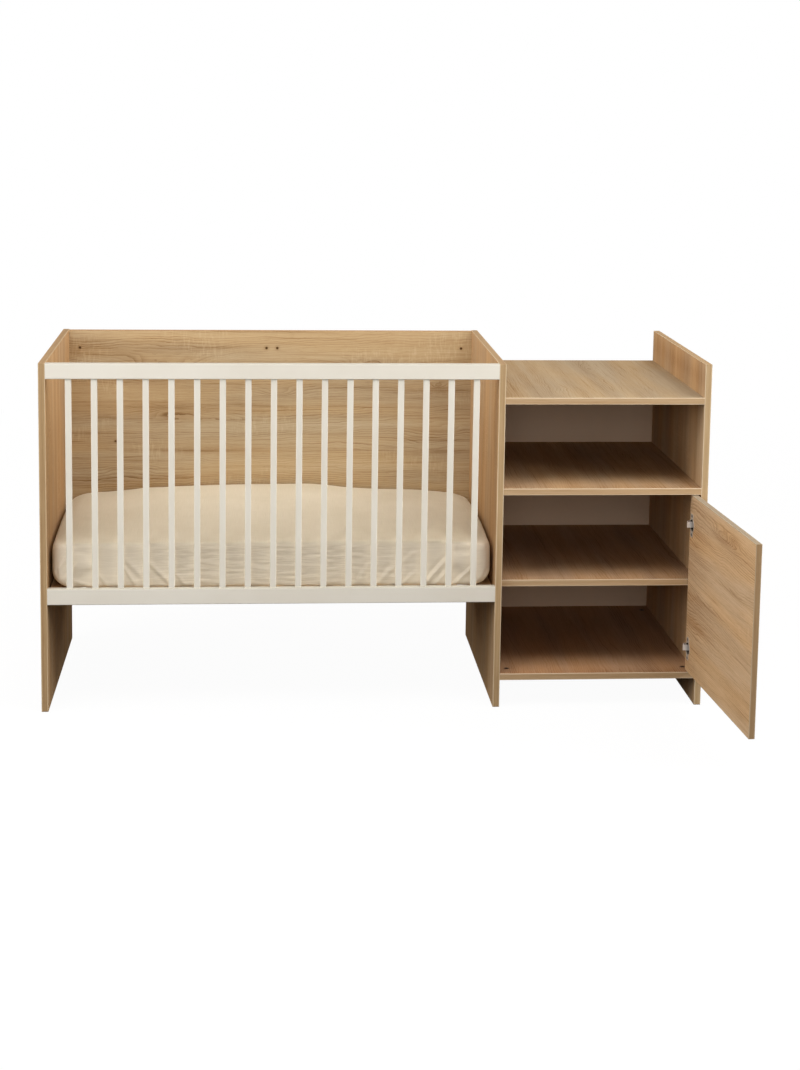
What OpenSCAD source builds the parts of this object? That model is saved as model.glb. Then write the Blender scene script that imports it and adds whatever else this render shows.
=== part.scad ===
// Crib with an attached changing cabinet: three upright panels, a slatted crib front
// with rails and bars, a slatted base with a mattress, and a cabinet with a changing
// top, two shelves and an inset door on concealed cup hinges.
// Origin: on the floor, under the centre of the middle panel. X runs along the length,
// the crib at -X and the cabinet at +X, Y runs to the back, Z is up.

/* [Panels] */
// Height of the three upright panels
panel_h = 947; // [900:1:1000]
// Depth of the upright panels from front to back
panel_d = 650; // [620:5:700]
// Thickness of the laminated boards
board_t = 18; // [17:0.5:20]
// Thickness of the edge banding on the boards
band_t = 1; // [0.8:0.1:1.5]
// Easing of the outer corners of the banding
edge_ease = 0.5; // [0.2:0.1:0.7]

/* [Crib] */
// Clear length between the left panel and the middle panel
crib_l = 1200; // [1150:10:1300]
// Height of the top rail's section
top_rail_h = 42; // [36:1:50]
// Height of the bottom rail's section
bottom_rail_h = 44; // [36:1:50]
// Underside of the bottom rail above the floor
bottom_rail_z = 294.5; // [280:0.5:310]
// Thickness of both rails
rail_t = 18; // [16:0.5:22]
// Rounding of the rails' long edges
rail_round = 2; // [1:0.5:4]
// Number of bars between the rails
bar_count = 17; // [15:1:18]
// Width of a bar
bar_w = 16.5; // [14:0.5:20]
// Depth of a bar from front to back
bar_d = 12; // [9:0.5:13]
// Rounding of a bar's long edges
bar_round = 3; // [1:0.5:4]
// Depth of a bar's mortise in each rail
bar_mortise = 8; // [5:0.5:12]
// Top of the crib's back panel below the top of the upright panels
back_drop = 1.5; // [0:0.5:10]
// Diameter of the spare fixing holes in the back panel
spare_hole_d = 5; // [4:0.5:7]
// Depth of the spare fixing holes
spare_hole_depth = 12; // [8:1:14]
// Spare fixing holes below the back panel's top edge
spare_hole_drop = 52; // [40:1:80]
// Spare fixing holes in from each end of the back panel, and from pair to pair
spare_hole_in = 32; // [30:1:60]

/* [Mattress base] */
// Top of the slats above the floor
base_top_z = 328; // [322:1:332]
// Thickness of a slat
slat_t = 12; // [10:1:15]
// Width of a slat
slat_w = 60; // [50:1:66]
// Number of slats
slat_count = 13; // [11:1:14]
// Height of the base's beams
beam_h = 26; // [20:1:30]
// Thickness of the base's beams
beam_t = 20; // [18:1:26]
// Gap between the base and what surrounds it
base_gap = 3; // [1:0.5:5]
// Height of the cleats that carry the base
cleat_h = 28; // [24:1:40]
// Length of the cleats from front to back
cleat_l = 390; // [300:10:420]
// Thickness of the cleats
cleat_t = 18; // [14:1:22]

/* [Mattress] */
// Gap between the dressed mattress and what surrounds it
mattress_gap = 5; // [3:0.5:10]
// Height of the dressed mattress at its front top edge
mattress_h = 123; // [100:1:130]
// Rise of the crowned top above the front edge
crown_rise = 39; // [20:1:50]
// Rounding of the mattress corners seen from above
corner_r = 60; // [40:1:80]
// Rounding of the bottom edge
bottom_round = 36; // [20:1:45]
// Rounding of the top edge
top_round = 18; // [10:1:25]
// How far the long sides pull in between the corners
side_pull = 3; // [1:0.5:6]
// Thickness of the fitted sheet
sheet_t = 1; // [0.6:0.1:1.5]
// Width of the sheet's hem under the mattress
hem_w = 70; // [50:5:100]

/* [Cabinet] */
// Clear width between the middle panel and the side panel
cabinet_w = 539; // [500:1:560]
// Changing surface below the top of the upright panels
changer_drop = 91; // [75:1:120]
// Top of the upper shelf above the floor
upper_shelf_z = 608; // [560:1:640]
// Top of the cupboard's inner shelf above the floor
inner_shelf_z = 350; // [320:1:400]
// Top of the cabinet's bottom board above the floor
bottom_board_z = 93.5; // [90:0.5:110]
// Front edge of the inner shelf behind the cabinet's front
inner_shelf_setback = 22; // [20:1:40]
// Thickness of the cabinet's back sheet
hdf_t = 3; // [2.5:0.1:4]
// Rear face of the back sheet in from the panels' rear edge
hdf_inset = 17; // [12:1:25]
// Depth of the grooves that hold the back sheet
groove_d = 8; // [6:0.5:9]

/* [Door] */
// Thickness of the door
door_t = 16; // [15:0.5:18]
// Gap round the closed door
door_gap = 2; // [2:0.1:3]
// Opening angle that the door stands at
door_open = 93.5; // [0:0.5:105]
// Hinge height above the floor, upper hinge
hinge_z_upper = 506; // [480:1:530]
// Hinge height above the floor, lower hinge
hinge_z_lower = 161; // [150:1:200]
// Hinge pin in from the door's hinge edge
pin_in = 11.5; // [11:0.5:13]
// Hinge pin behind the door's outer face
pin_deep = 5.8; // [5.6:0.1:6.2]
// Radius of the hinge cup
cup_r = 17.5; // [17:0.1:18]
// Hinge cup's rim in from the door's hinge edge
cup_edge = 3; // [3:0.1:3.6]
// Depth of the cup's bore in the door
cup_depth = 13; // [12.8:0.1:13.2]
// Width of the hinge arm
arm_w = 16; // [12:0.5:16]
// Thickness of the hinge arm
arm_t = 2.2; // [1.6:0.1:2.4]
// Radius of the arm's gooseneck about the pin
arm_r = 20; // [19:0.1:20.5]
// Thickness of the hinge's mounting plate
plate_t = 3; // [2:0.1:4]
// Radius of the hinge pin
pin_r = 1.1; // [1:0.05:1.15]

/* [Fittings] */
// Diameter of the cam housings
cam_d = 15; // [14:0.5:15]
// Height of the cam housings
cam_h = 13.2; // [13.1:0.1:13.4]
// Cam centre in from the board's end
cam_in = 24; // [24:0.5:30]
// Cams in from the front and rear edges of the boards
cam_edge = 46; // [36:1:80]
// Diameter of the cam bolts' shanks
bolt_d = 5; // [4:0.5:5.5]
// Diameter of the dowels
dowel_d = 8; // [6:0.5:8]
// Length of the dowels
dowel_l = 30; // [26:1:32]
// Depth that bolts and dowels enter the upright panels
panel_bite = 11; // [9:0.5:12]
// Diameter of the shelf pins
shelf_pin_d = 5; // [4:0.5:6]
// Shelf pins in from the front and rear edges of the inner shelf
shelf_pin_edge = 40; // [30:1:80]
// Number of shelf-pin heights drilled in the panels
shelf_pin_rows = 3; // [1:2:3]
// Distance between shelf-pin heights
shelf_pin_pitch = 32; // [25:1:40]
// Diameter of the wood screws' shanks
screw_d = 4; // [3:0.5:4.5]

/* [Hidden] */
BARS = [for (i = [1:bar_count]) bar_name(i)];

// Fineness of circles, and a small overshoot for cuts
$fn = 48;
eps = 0.5;
// Radial clearance of a fixed pin or dowel, of a running pin, and of a housing
fixed_fit = 0.03;
run_fit = 0.05;
snug = 0.1;
// Clearance of the soft bed from what carries it, and of the sheet from its filling
soft_gap = 0.3;
sheet_gap = 0.4;
// Foot of the banding above the floor
band_lift = 1;

// Places along X: faces of the three upright panels
mid_x0 = -board_t / 2;
mid_x1 = board_t / 2;
crib_x1 = mid_x0;
crib_x0 = crib_x1 - crib_l;
left_x0 = crib_x0 - board_t;
cab_x0 = mid_x1;
cab_x1 = cab_x0 + cabinet_w;
side_x1 = cab_x1 + board_t;

// Places along Y
front_y = -panel_d / 2;
rear_y = panel_d / 2;
rail_y = front_y + rail_t / 2;
back_y0 = rear_y - board_t;
back_y = rear_y - board_t / 2;
hdf_y1 = rear_y - hdf_inset;
hdf_y0 = hdf_y1 - hdf_t;
shelf_y1 = hdf_y0 - snug;
inner_shelf_y0 = front_y + inner_shelf_setback;
inner_shelf_y1 = hdf_y0 - door_gap;

// Places along Z
changer_z = panel_h - changer_drop;
top_rail_z = panel_h - top_rail_h;
bottom_rail_top = bottom_rail_z + bottom_rail_h;
back_z0 = bottom_rail_z;
back_z1 = panel_h - back_drop;
beam_z1 = base_top_z - slat_t;
beam_z0 = beam_z1 - beam_h;
cleat_z0 = beam_z0 - cleat_h;
hdf_z0 = bottom_board_z - board_t;
hdf_z1 = changer_z - board_t + groove_d - eps;

// The base's outline between the panels, the rail and the back panel
base_x0 = crib_x0 + base_gap;
base_x1 = crib_x1 - base_gap;
base_y0 = front_y + rail_t + base_gap;
base_y1 = back_y0 - base_gap;
base_mid_y = (base_y0 + base_y1) / 2;
slat_pitch = (base_x1 - base_x0 - slat_w) / (slat_count - 1);
slat_screw_ys = [base_y0 + beam_t / 2, base_y1 - beam_t / 2];
slat_screw_l = slat_t + 13;
screw_head_d = 2 * screw_d;
screw_head_h = screw_d / 2;
cleat_screw_l = cleat_t + 10;
cleat_ys = [-cleat_l / 2 + 30, 0, cleat_l / 2 - 30];

// Bars: equal gaps between the panels
bar_gap = (crib_l - bar_count * bar_w) / (bar_count + 1);
bar_z0 = bottom_rail_top - bar_mortise;
bar_z1 = top_rail_z + bar_mortise;

// Fittings: [place on the panel's face, rotation, thickness of the board that it joins].
// Turned back, a fitting's X runs into the board and its Z out of the cam's mouth.
cam_bore_depth = cam_h + 0.3;
cam_slot_w = 1.6;
cam_slot_l = 9;
cam_slot_h = 1.4;
bolt_head_d = bolt_d + 1.6;
bolt_bore_d = bolt_d + 3;
head_bore_d = bolt_head_d + 0.4;
bolt_reach = cam_in + 2;
bolt_head_l = 3.5;
end_slack = 0.5;
rail_fitting_off = 9;
cam_ys_top = [front_y + cam_edge, rear_y - cam_edge];
cam_ys = [front_y + cam_edge, shelf_y1 - cam_edge];
shelf_dowel_y = [(front_y + shelf_y1) / 2];
back_cam_zs = [back_z0 + 2 * cam_edge, back_z1 - 2 * cam_edge];
top_cams = flat_spots(cam_ys_top, changer_z - board_t / 2, false);
upper_cams = flat_spots(cam_ys, upper_shelf_z - board_t / 2, false);
bottom_cams = flat_spots(cam_ys, bottom_board_z - board_t / 2, true);
top_rail_cams = upright_spots(rail_y, [top_rail_mid() - rail_fitting_off], rail_t);
bottom_rail_cams = upright_spots(rail_y, [bottom_rail_mid() - rail_fitting_off], rail_t);
back_cams = upright_spots(back_y, back_cam_zs, board_t);
top_dowels = flat_spots([0], changer_z - board_t / 2, false);
upper_dowels = flat_spots(shelf_dowel_y, upper_shelf_z - board_t / 2, false);
bottom_dowels = flat_spots(shelf_dowel_y, bottom_board_z - board_t / 2, true);
top_rail_dowels = upright_spots(rail_y, [top_rail_mid() + rail_fitting_off], rail_t);
bottom_rail_dowels = upright_spots(rail_y, [bottom_rail_mid() + rail_fitting_off], rail_t);
back_dowels = upright_spots(back_y, [(back_z0 + back_z1) / 2], board_t);
ALL_CAMS = concat(top_cams, upper_cams, bottom_cams, top_rail_cams, bottom_rail_cams, back_cams);
ALL_DOWELS = concat(top_dowels, upper_dowels, bottom_dowels,
    top_rail_dowels, bottom_rail_dowels, back_dowels);

// Shelf pins: two on each panel at each drilled height
spoon_l = 10;
spoon_w = 8;
spoon_h = 2;
shelf_pin_ys = [inner_shelf_y0 + shelf_pin_edge, inner_shelf_y1 - shelf_pin_edge];
shelf_pin_z = inner_shelf_z - board_t - spoon_h - shelf_pin_d / 2;
shelf_pin_bite = 8;

// Door, drawn closed and turned about the hinge pins
door_x0 = cab_x0 + door_gap;
door_x1 = cab_x1 - door_gap;
door_z0 = bottom_board_z + door_gap;
door_z1 = upper_shelf_z - board_t - door_gap;
pivot = [door_x1 - pin_in, front_y + pin_deep];
HINGE_ZS = [hinge_z_upper, hinge_z_lower];

// Hinge, in its own place: the pin's axis at the origin, the closed door's inner face
// at face_y, the cup's centre at cup_x, the side panel's inner face at wall_x
cup_x = pin_in - cup_edge - cup_r;
face_y = door_t - pin_deep;
wall_x = pin_in + door_gap;
cup_wall = 0.8;
cup_floor = 0.6;
cup_floor_y = face_y - cup_depth;
flange_t = 1.2;
flange_r = cup_r + 1.1;
wing_w = 20;
wing_h = 64;
wing_round = 6;
cup_screw_z = 26;
cup_screw_l = 12;
ear_t = 4.4;
ear_gap = 0.5;
ear_top = pin_r + 1;
pin_half = 12;
knuckle_r = pin_r + 0.8;
neck_angle = 178;
bend_r = 4;
arm_x = wall_x - plate_t - arm_t / 2;
arm_y0 = arm_r + bend_r;
plate_y = 37 + door_t - pin_deep;
arm_end_y = plate_y + 28;
plate_wing_h = 50;
plate_wing_w = 14;
plate_screw_z = 16;
plate_screw_l = plate_t + 12;
arm_screw_y = plate_y + 16;
arm_screw_l = arm_t + plate_t - 1;

// Mattress outline and its levels
bed_x0 = crib_x0 + mattress_gap;
bed_x1 = crib_x1 - mattress_gap;
bed_y0 = front_y + rail_t + mattress_gap;
bed_y1 = back_y0 - mattress_gap;
bed_cx = (bed_x0 + bed_x1) / 2;
bed_cy = (bed_y0 + bed_y1) / 2;
bed_hx = (bed_x1 - bed_x0) / 2;
bed_hy = (bed_y1 - bed_y0) / 2;
bed_z = base_top_z + soft_gap;
corner_steps = 3;
side_steps_long = 9;
side_steps_short = 5;
arc_steps = 3;
top_rings = [0.88, 0.64, 0.32];
crown_turn = 115;
end_fall = 0.5;
corner_fall = 0.4;

function bar_name(i) = str("bar_", i < 10 ? "0" : "", i);
function top_rail_mid() = top_rail_z + top_rail_h / 2;
function bottom_rail_mid() = bottom_rail_z + bottom_rail_h / 2;

// Fitting places at both ends of a lying cabinet board, cams open upwards or downwards
function flat_spots(ys, z, up) = [for (y = ys) each [
    [[cab_x0, y, z], up ? [0, 0, 0] : [180, 0, 0], board_t],
    [[cab_x1, y, z], up ? [0, 0, 180] : [0, 180, 0], board_t]
]];

// Fitting places at both ends of an upright crib board or rail, cams open to the back
function upright_spots(y, zs, t) = [for (z = zs) each [
    [[crib_x0, y, z], [-90, 0, 0], t],
    [[crib_x1, y, z], [90, 0, 180], t]
]];

// The fittings that enter the panel whose face is at x
function spots_on(spots, x) = [for (s = spots) if (abs(s[0][0] - x) < eps) s];

// Outline of a rectangle with its corners cut by e
function eased_outline(a, b, e) = [
    [a[0] + e, b[0]], [a[1] - e, b[0]], [a[1], b[0] + e], [a[1], b[1] - e],
    [a[1] - e, b[1]], [a[0] + e, b[1]], [a[0], b[1] - e], [a[0], b[0] + e]
];

// ---- Simple solids ----

// A box between pairs of coordinates
module block(x, y, z) {
    translate([x[0], y[0], z[0]])
        cube([x[1] - x[0], y[1] - y[0], z[1] - z[0]]);
}

// A box with all twelve edges eased
module eased_block(x, y, z) {
    intersection() {
        translate([0, 0, z[0]])
            linear_extrude(z[1] - z[0]) polygon(eased_outline(x, y, edge_ease));
        translate([0, y[1], 0]) rotate([90, 0, 0])
            linear_extrude(y[1] - y[0]) polygon(eased_outline(x, z, edge_ease));
        translate([x[0], 0, 0]) rotate([90, 0, 90])
            linear_extrude(x[1] - x[0]) polygon(eased_outline(y, z, edge_ease));
    }
}

// A centred rectangle with round corners
module round_rect(w, h, r) {
    square([w - 2 * r, h], center = true);
    square([w, h - 2 * r], center = true);
    for (sx = [-1, 1])
        for (sy = [-1, 1])
            translate([sx * (w / 2 - r), sy * (h / 2 - r)]) circle(r);
}

// A rod along X from a to b
module rod_x(a, b, d) {
    translate([a, 0, 0]) rotate([0, 90, 0]) cylinder(h = b - a, d = d);
}

// A countersunk wood screw that points along -Z from its head at z = 0
module wood_screw(l, grow = 0) {
    translate([0, 0, -l]) cylinder(h = l, d = screw_d + 2 * grow);
    translate([0, 0, -screw_head_h])
        cylinder(h = screw_head_h, d1 = screw_d + 2 * grow, d2 = screw_head_d + 2 * grow);
    if (grow > 0) translate([0, 0, -l - end_slack]) cylinder(h = l, d = screw_d + 2 * grow);
    if (grow > 0) cylinder(h = eps, d = screw_head_d + 2 * grow);
}

// ---- Fittings ----

module at_spots(spots) {
    for (s = spots)
        translate(s[0]) rotate(s[1]) children();
}

// Cuts for one cam fitting: housing bore and shank bore in the board, bolt hole in the panel
module cam_cuts(t) {
    translate([cam_in, 0, t / 2 - cam_bore_depth])
        cylinder(h = cam_bore_depth + eps, d = cam_d + 2 * snug);
    rod_x(-eps, cam_in, bolt_bore_d);
}

module cam_cuts_at(spots) {
    for (s = spots)
        translate(s[0]) rotate(s[1]) cam_cuts(s[2]);
}

module bolt_holes_at(spots) {
    at_spots(spots) rod_x(-panel_bite - end_slack, eps, bolt_d + 2 * fixed_fit);
}

module dowel_cuts_at(spots) {
    at_spots(spots)
        rod_x(-panel_bite - end_slack, dowel_l - panel_bite + end_slack, dowel_d + 2 * fixed_fit);
}

module cam_housing(t) {
    difference() {
        translate([cam_in, 0, t / 2 - cam_h]) cylinder(h = cam_h, d = cam_d);
        rod_x(cam_in - cam_d, bolt_reach + end_slack, head_bore_d);
        for (a = [45, 135])
            translate([cam_in, 0, t / 2]) rotate([0, 0, a])
                cube([cam_slot_l, cam_slot_w, 2 * cam_slot_h], center = true);
    }
}

module cam_bolt() {
    rod_x(-panel_bite, bolt_reach, bolt_d);
    rod_x(bolt_reach - bolt_head_l, bolt_reach, bolt_head_d);
}

module cam_housings() {
    color("silver")
        for (s = ALL_CAMS)
            translate(s[0]) rotate(s[1]) cam_housing(s[2]);
}

module cam_bolts() {
    color("lightgray") at_spots(ALL_CAMS) cam_bolt();
}

module dowels() {
    color("burlywood") at_spots(ALL_DOWELS) rod_x(-panel_bite, dowel_l - panel_bite, dowel_d);
}

// ---- Upright panels ----

module panel_core(x) {
    block(x, [front_y + band_t, rear_y - band_t], [0, panel_h - band_t]);
}

// Banding round the front, top and rear edges of an upright panel
module panel_band(x) {
    difference() {
        eased_block(x, [front_y, rear_y], [band_lift, panel_h]);
        block([x[0] - eps, x[1] + eps], [front_y + band_t, rear_y - band_t],
            [0, panel_h - band_t]);
    }
}

module groove_cut() {
    block([cab_x0 - groove_d, cab_x1 + groove_d], [hdf_y0 - snug, hdf_y1 + snug],
        [hdf_z0 - snug, hdf_z1 + eps]);
}

// Shelf-pin holes on the panel face at x, bored away from the cabinet (side is -1 or 1)
module shelf_pin_holes(x, side) {
    for (y = shelf_pin_ys)
        for (row = [-(shelf_pin_rows - 1) / 2:(shelf_pin_rows - 1) / 2])
            translate([x, y, shelf_pin_z + row * shelf_pin_pitch]) rotate([0, side * 90, 0])
                translate([0, 0, -eps])
                    cylinder(h = shelf_pin_bite + 2 * eps, d = shelf_pin_d + 2 * fixed_fit);
}

module left_end_panel() {
    color("burlywood") difference() {
        panel_core([left_x0, crib_x0]);
        bolt_holes_at(spots_on(ALL_CAMS, crib_x0));
        dowel_cuts_at(spots_on(ALL_DOWELS, crib_x0));
        cleat_screw_set(1, fixed_fit);
    }
}

module middle_panel() {
    color("burlywood") difference() {
        panel_core([mid_x0, mid_x1]);
        bolt_holes_at(spots_on(ALL_CAMS, crib_x1));
        dowel_cuts_at(spots_on(ALL_DOWELS, crib_x1));
        bolt_holes_at(spots_on(ALL_CAMS, cab_x0));
        dowel_cuts_at(spots_on(ALL_DOWELS, cab_x0));
        cleat_screw_set(-1, fixed_fit);
        shelf_pin_holes(cab_x0, -1);
        groove_cut();
    }
}

module side_panel() {
    color("burlywood") difference() {
        panel_core([cab_x1, side_x1]);
        bolt_holes_at(spots_on(ALL_CAMS, cab_x1));
        dowel_cuts_at(spots_on(ALL_DOWELS, cab_x1));
        shelf_pin_holes(cab_x1, 1);
        groove_cut();
        at_hinges() plate_screw_set(fixed_fit);
    }
}

module crib_back_panel() {
    color("burlywood") difference() {
        block([crib_x0, crib_x1], [back_y0, rear_y], [back_z0 + band_t, back_z1 - band_t]);
        cam_cuts_at(back_cams);
        dowel_cuts_at(back_dowels);
        for (x = [crib_x0 + spare_hole_in, bed_cx - spare_hole_in / 2,
                  bed_cx + spare_hole_in / 2, crib_x1 - spare_hole_in])
            translate([x, back_y0 - eps, back_z1 - spare_hole_drop]) rotate([-90, 0, 0])
                cylinder(h = spare_hole_depth + eps, d = spare_hole_d);
    }
}

module panel_edge_bands() {
    color("tan") {
        panel_band([left_x0, crib_x0]);
        panel_band([mid_x0, mid_x1]);
        panel_band([cab_x1, side_x1]);
    }
}

module back_edge_bands() {
    color("tan") difference() {
        eased_block([crib_x0, crib_x1], [back_y0, rear_y], [back_z0, back_z1]);
        block([crib_x0 - eps, crib_x1 + eps], [back_y0 - eps, rear_y + eps],
            [back_z0 + band_t, back_z1 - band_t]);
    }
}

// ---- Crib front ----

module rail(z0, h) {
    translate([crib_x0, rail_y, z0 + h / 2]) rotate([90, 0, 90])
        linear_extrude(crib_l) round_rect(rail_t, h, rail_round);
}

function bar_x(i) = crib_x0 + i * bar_gap + (i - 0.5) * bar_w;

module bar_mortises() {
    for (i = [1:bar_count])
        translate([bar_x(i), rail_y, bar_z0 - soft_gap])
            linear_extrude(bar_z1 - bar_z0 + 2 * soft_gap)
                round_rect(bar_w + 2 * snug, bar_d + 2 * snug, bar_round + snug);
}

module top_rail() {
    color("ivory") difference() {
        rail(top_rail_z, top_rail_h);
        bar_mortises();
        cam_cuts_at(top_rail_cams);
        dowel_cuts_at(top_rail_dowels);
    }
}

module bottom_rail() {
    color("ivory") difference() {
        rail(bottom_rail_z, bottom_rail_h);
        bar_mortises();
        cam_cuts_at(bottom_rail_cams);
        dowel_cuts_at(bottom_rail_dowels);
    }
}

module bar(i) {
    color("ivory") translate([bar_x(i), rail_y, bar_z0])
        linear_extrude(bar_z1 - bar_z0) round_rect(bar_w, bar_d, bar_round);
}

// ---- Mattress base ----

module beam(x, y) {
    color("wheat") difference() {
        block(x, y, [beam_z0, beam_z1]);
        slat_screw_set(fixed_fit);
    }
}

module slat_screw_set(grow) {
    for (i = [0:slat_count - 1])
        for (y = slat_screw_ys)
            translate([base_x0 + slat_w / 2 + i * slat_pitch, y, base_top_z])
                wood_screw(slat_screw_l, grow);
}

module slat_screws() {
    color("silver") slat_screw_set(0);
}

module base_slats() {
    color("wheat") difference() {
        for (i = [0:slat_count - 1])
            translate([base_x0 + i * slat_pitch, base_y0, beam_z1])
                cube([slat_w, base_y1 - base_y0, slat_t]);
        slat_screw_set(fixed_fit);
    }
}

module base_front_beam() {
    beam([base_x0, base_x1], [base_y0, base_y0 + beam_t]);
}

module base_rear_beam() {
    beam([base_x0, base_x1], [base_y1 - beam_t, base_y1]);
}

module base_centre_beam() {
    beam([base_x0 + beam_t, base_x1 - beam_t], [base_mid_y - beam_t / 2, base_mid_y + beam_t / 2]);
}

module base_end_beam(x) {
    color("wheat") block(x, [base_y0 + beam_t, base_y1 - beam_t], [beam_z0, beam_z1]);
}

module base_left_beam() {
    base_end_beam([base_x0, base_x0 + beam_t]);
}

module base_right_beam() {
    base_end_beam([base_x1 - beam_t, base_x1]);
}

// Screws of one cleat, on the left panel (side 1) or the middle panel (side -1)
module cleat_screw_set(side, grow) {
    for (y = cleat_ys)
        translate([side > 0 ? crib_x0 + cleat_t : crib_x1 - cleat_t, y, cleat_z0 + cleat_h / 2])
            rotate([0, side * 90, 0]) wood_screw(cleat_screw_l, grow);
}

module cleat(side) {
    x0 = side > 0 ? crib_x0 : crib_x1 - cleat_t;
    color("wheat") difference() {
        block([x0, x0 + cleat_t], [-cleat_l / 2, cleat_l / 2], [cleat_z0, beam_z0]);
        cleat_screw_set(side, fixed_fit);
    }
}

module cleat_left() {
    cleat(1);
}

module cleat_right() {
    cleat(-1);
}

module cleat_screws() {
    color("silver") {
        cleat_screw_set(1, 0);
        cleat_screw_set(-1, 0);
    }
}

// ---- Mattress and fitted sheet ----

// Unit outline of the bed seen from above, anticlockwise from the front left corner:
// each entry is [corner x sign, corner y sign, angle of the corner's arc, share of the side]
function bed_loop() = [for (q = [0:3]) each concat(
    [for (k = [0:corner_steps]) corner_at(q, 180 + 90 * q + 90 * k / corner_steps)],
    [for (k = [1:(q % 2 == 0 ? side_steps_long : side_steps_short)])
        side_at(q, k / ((q % 2 == 0 ? side_steps_long : side_steps_short) + 1))]
)];
function corner_at(q, a) = [CORNERS[q], CORNERS[q], 0, a];
function side_at(q, f) = [CORNERS[q], CORNERS[(q + 1) % 4], f, 270 + 90 * q];
CORNERS = [[-1, -1], [1, -1], [1, 1], [-1, 1]];
LOOP = bed_loop();
LOOP_N = len(LOOP);

// A point of the outline at an inset from the bed's edge, drawn in between the corners
function loop_point(e, inset) =
    let (
        r = max(corner_r - inset, 1),
        arm = [bed_hx - inset - r, bed_hy - inset - r],
        base = [for (k = [0:1]) arm[k] * (e[0][k] * (1 - e[2]) + e[1][k] * e[2])],
        pull = side_pull * sin(180 * e[2])
    )
    [base[0] + (r - pull) * cos(e[3]), base[1] + (r - pull) * sin(e[3])];

// Share of the crown's rise at a place on the top
function crown(p) =
    let (
        u = min(abs(p[0] / bed_hx), 1),
        v = min(max((p[1] / bed_hy + 1) / 2, 0), 1)
    )
    sin(crown_turn * v) * (1 - (end_fall + corner_fall * max(2 * v - 1, 0)) * pow(u, 3));

// A ring of the bed's skin: inset from the edge, height, and how much crown it takes
function ring(inset, z, share, shrink = 1) = [
    for (e = LOOP)
        let (p = loop_point(e, inset) * shrink)
        [bed_cx + p[0], bed_cy + p[1], bed_z + z + share * crown_rise * crown(p)]
];

// The rings from the bottom edge over the sides to the top, a distance d inside the skin
function side_rings(d) = concat(
    [for (k = [0:arc_steps])
        let (a = 90 * k / arc_steps)
        ring(bottom_round * (1 - sin(a)) + d * sin(a),
            bottom_round * (1 - cos(a)) + d * cos(a), 0)],
    [for (k = [0:arc_steps])
        let (a = 90 * k / arc_steps)
        ring(top_round * (1 - cos(a)) + d * cos(a),
            mattress_h - top_round * (1 - sin(a)) - d * sin(a), k / arc_steps)],
    [for (s = top_rings) ring(top_round, mattress_h - d, 1, s)]
);
function apex(z, share) = [bed_cx, bed_cy, bed_z + z + share * crown_rise * crown([0, 0])];

// A closed skin from a chain of rings with a point at each end. The first rings, as many
// as inner says, line the inside: their facets lie along those of the skin outside them.
module ring_body(rings, start, finish, inner = 0) {
    n = len(rings);
    points = concat([start], [for (r = rings) each r], [finish]);
    last = n * LOOP_N + 1;
    polyhedron(points, concat(
        [for (i = [0:LOOP_N - 1]) [0, 1 + i, 1 + (i + 1) % LOOP_N]],
        [for (k = [0:n - 2]) for (i = [0:LOOP_N - 1]) each ring_faces(k, i, k < inner)],
        [for (i = [0:LOOP_N - 1])
            [last, 1 + (n - 1) * LOOP_N + (i + 1) % LOOP_N, 1 + (n - 1) * LOOP_N + i]]
    ));
}

function ring_faces(k, i, inner) =
    let (
        a = 1 + k * LOOP_N + i,
        b = 1 + k * LOOP_N + (i + 1) % LOOP_N,
        c = a + LOOP_N,
        d = b + LOOP_N
    )
    inner ? [[a, c, d], [a, d, b]] : [[a, c, b], [b, c, d]];

module mattress() {
    d = sheet_t + sheet_gap;
    color("white") ring_body(side_rings(d), apex(d, 0), apex(mattress_h - d, 1));
}

module fitted_sheet() {
    outer = concat([ring(bottom_round + hem_w, 0, 0)], side_rings(0));
    inner = concat([ring(bottom_round + hem_w, sheet_t, 0)], side_rings(sheet_t));
    count = len(inner);
    color("tan") ring_body(
        concat([for (k = [0:count - 1]) inner[count - 1 - k]], outer),
        apex(mattress_h - sheet_t, 1), apex(mattress_h, 1), count
    );
}

// ---- Cabinet ----

// Core of a lying board without its banding: front, and rear if asked
module board_core(z_top, y, rear_band) {
    block([cab_x0, cab_x1], [y[0] + band_t, y[1] - (rear_band ? band_t : 0)],
        [z_top - board_t, z_top]);
}

module changer_top() {
    color("burlywood") difference() {
        board_core(changer_z, [front_y, rear_y], true);
        cam_cuts_at(top_cams);
        dowel_cuts_at(top_dowels);
        groove_cut();
    }
}

module upper_shelf() {
    color("burlywood") difference() {
        board_core(upper_shelf_z, [front_y, shelf_y1], false);
        cam_cuts_at(upper_cams);
        dowel_cuts_at(upper_dowels);
    }
}

module bottom_board() {
    color("burlywood") difference() {
        board_core(bottom_board_z, [front_y, shelf_y1], false);
        cam_cuts_at(bottom_cams);
        dowel_cuts_at(bottom_dowels);
    }
}

module inner_shelf() {
    color("burlywood")
        block([cab_x0 + end_slack, cab_x1 - end_slack], [inner_shelf_y0 + band_t, inner_shelf_y1],
            [inner_shelf_z - board_t, inner_shelf_z]);
}

// Banding along the front edge of a lying board
module front_band(x, y0, z_top) {
    intersection() {
        eased_block(x, [y0, y0 + 2 * board_t], [z_top - board_t, z_top]);
        block([x[0] - eps, x[1] + eps], [y0 - eps, y0 + band_t],
            [z_top - board_t - eps, z_top + eps]);
    }
}

module shelf_edge_bands() {
    color("tan") {
        for (z = [changer_z, upper_shelf_z, bottom_board_z])
            front_band([cab_x0, cab_x1], front_y, z);
        front_band([cab_x0 + end_slack, cab_x1 - end_slack], inner_shelf_y0, inner_shelf_z);
        rotate([0, 0, 180]) front_band([-cab_x1, -cab_x0], -rear_y, changer_z);
    }
}

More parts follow.
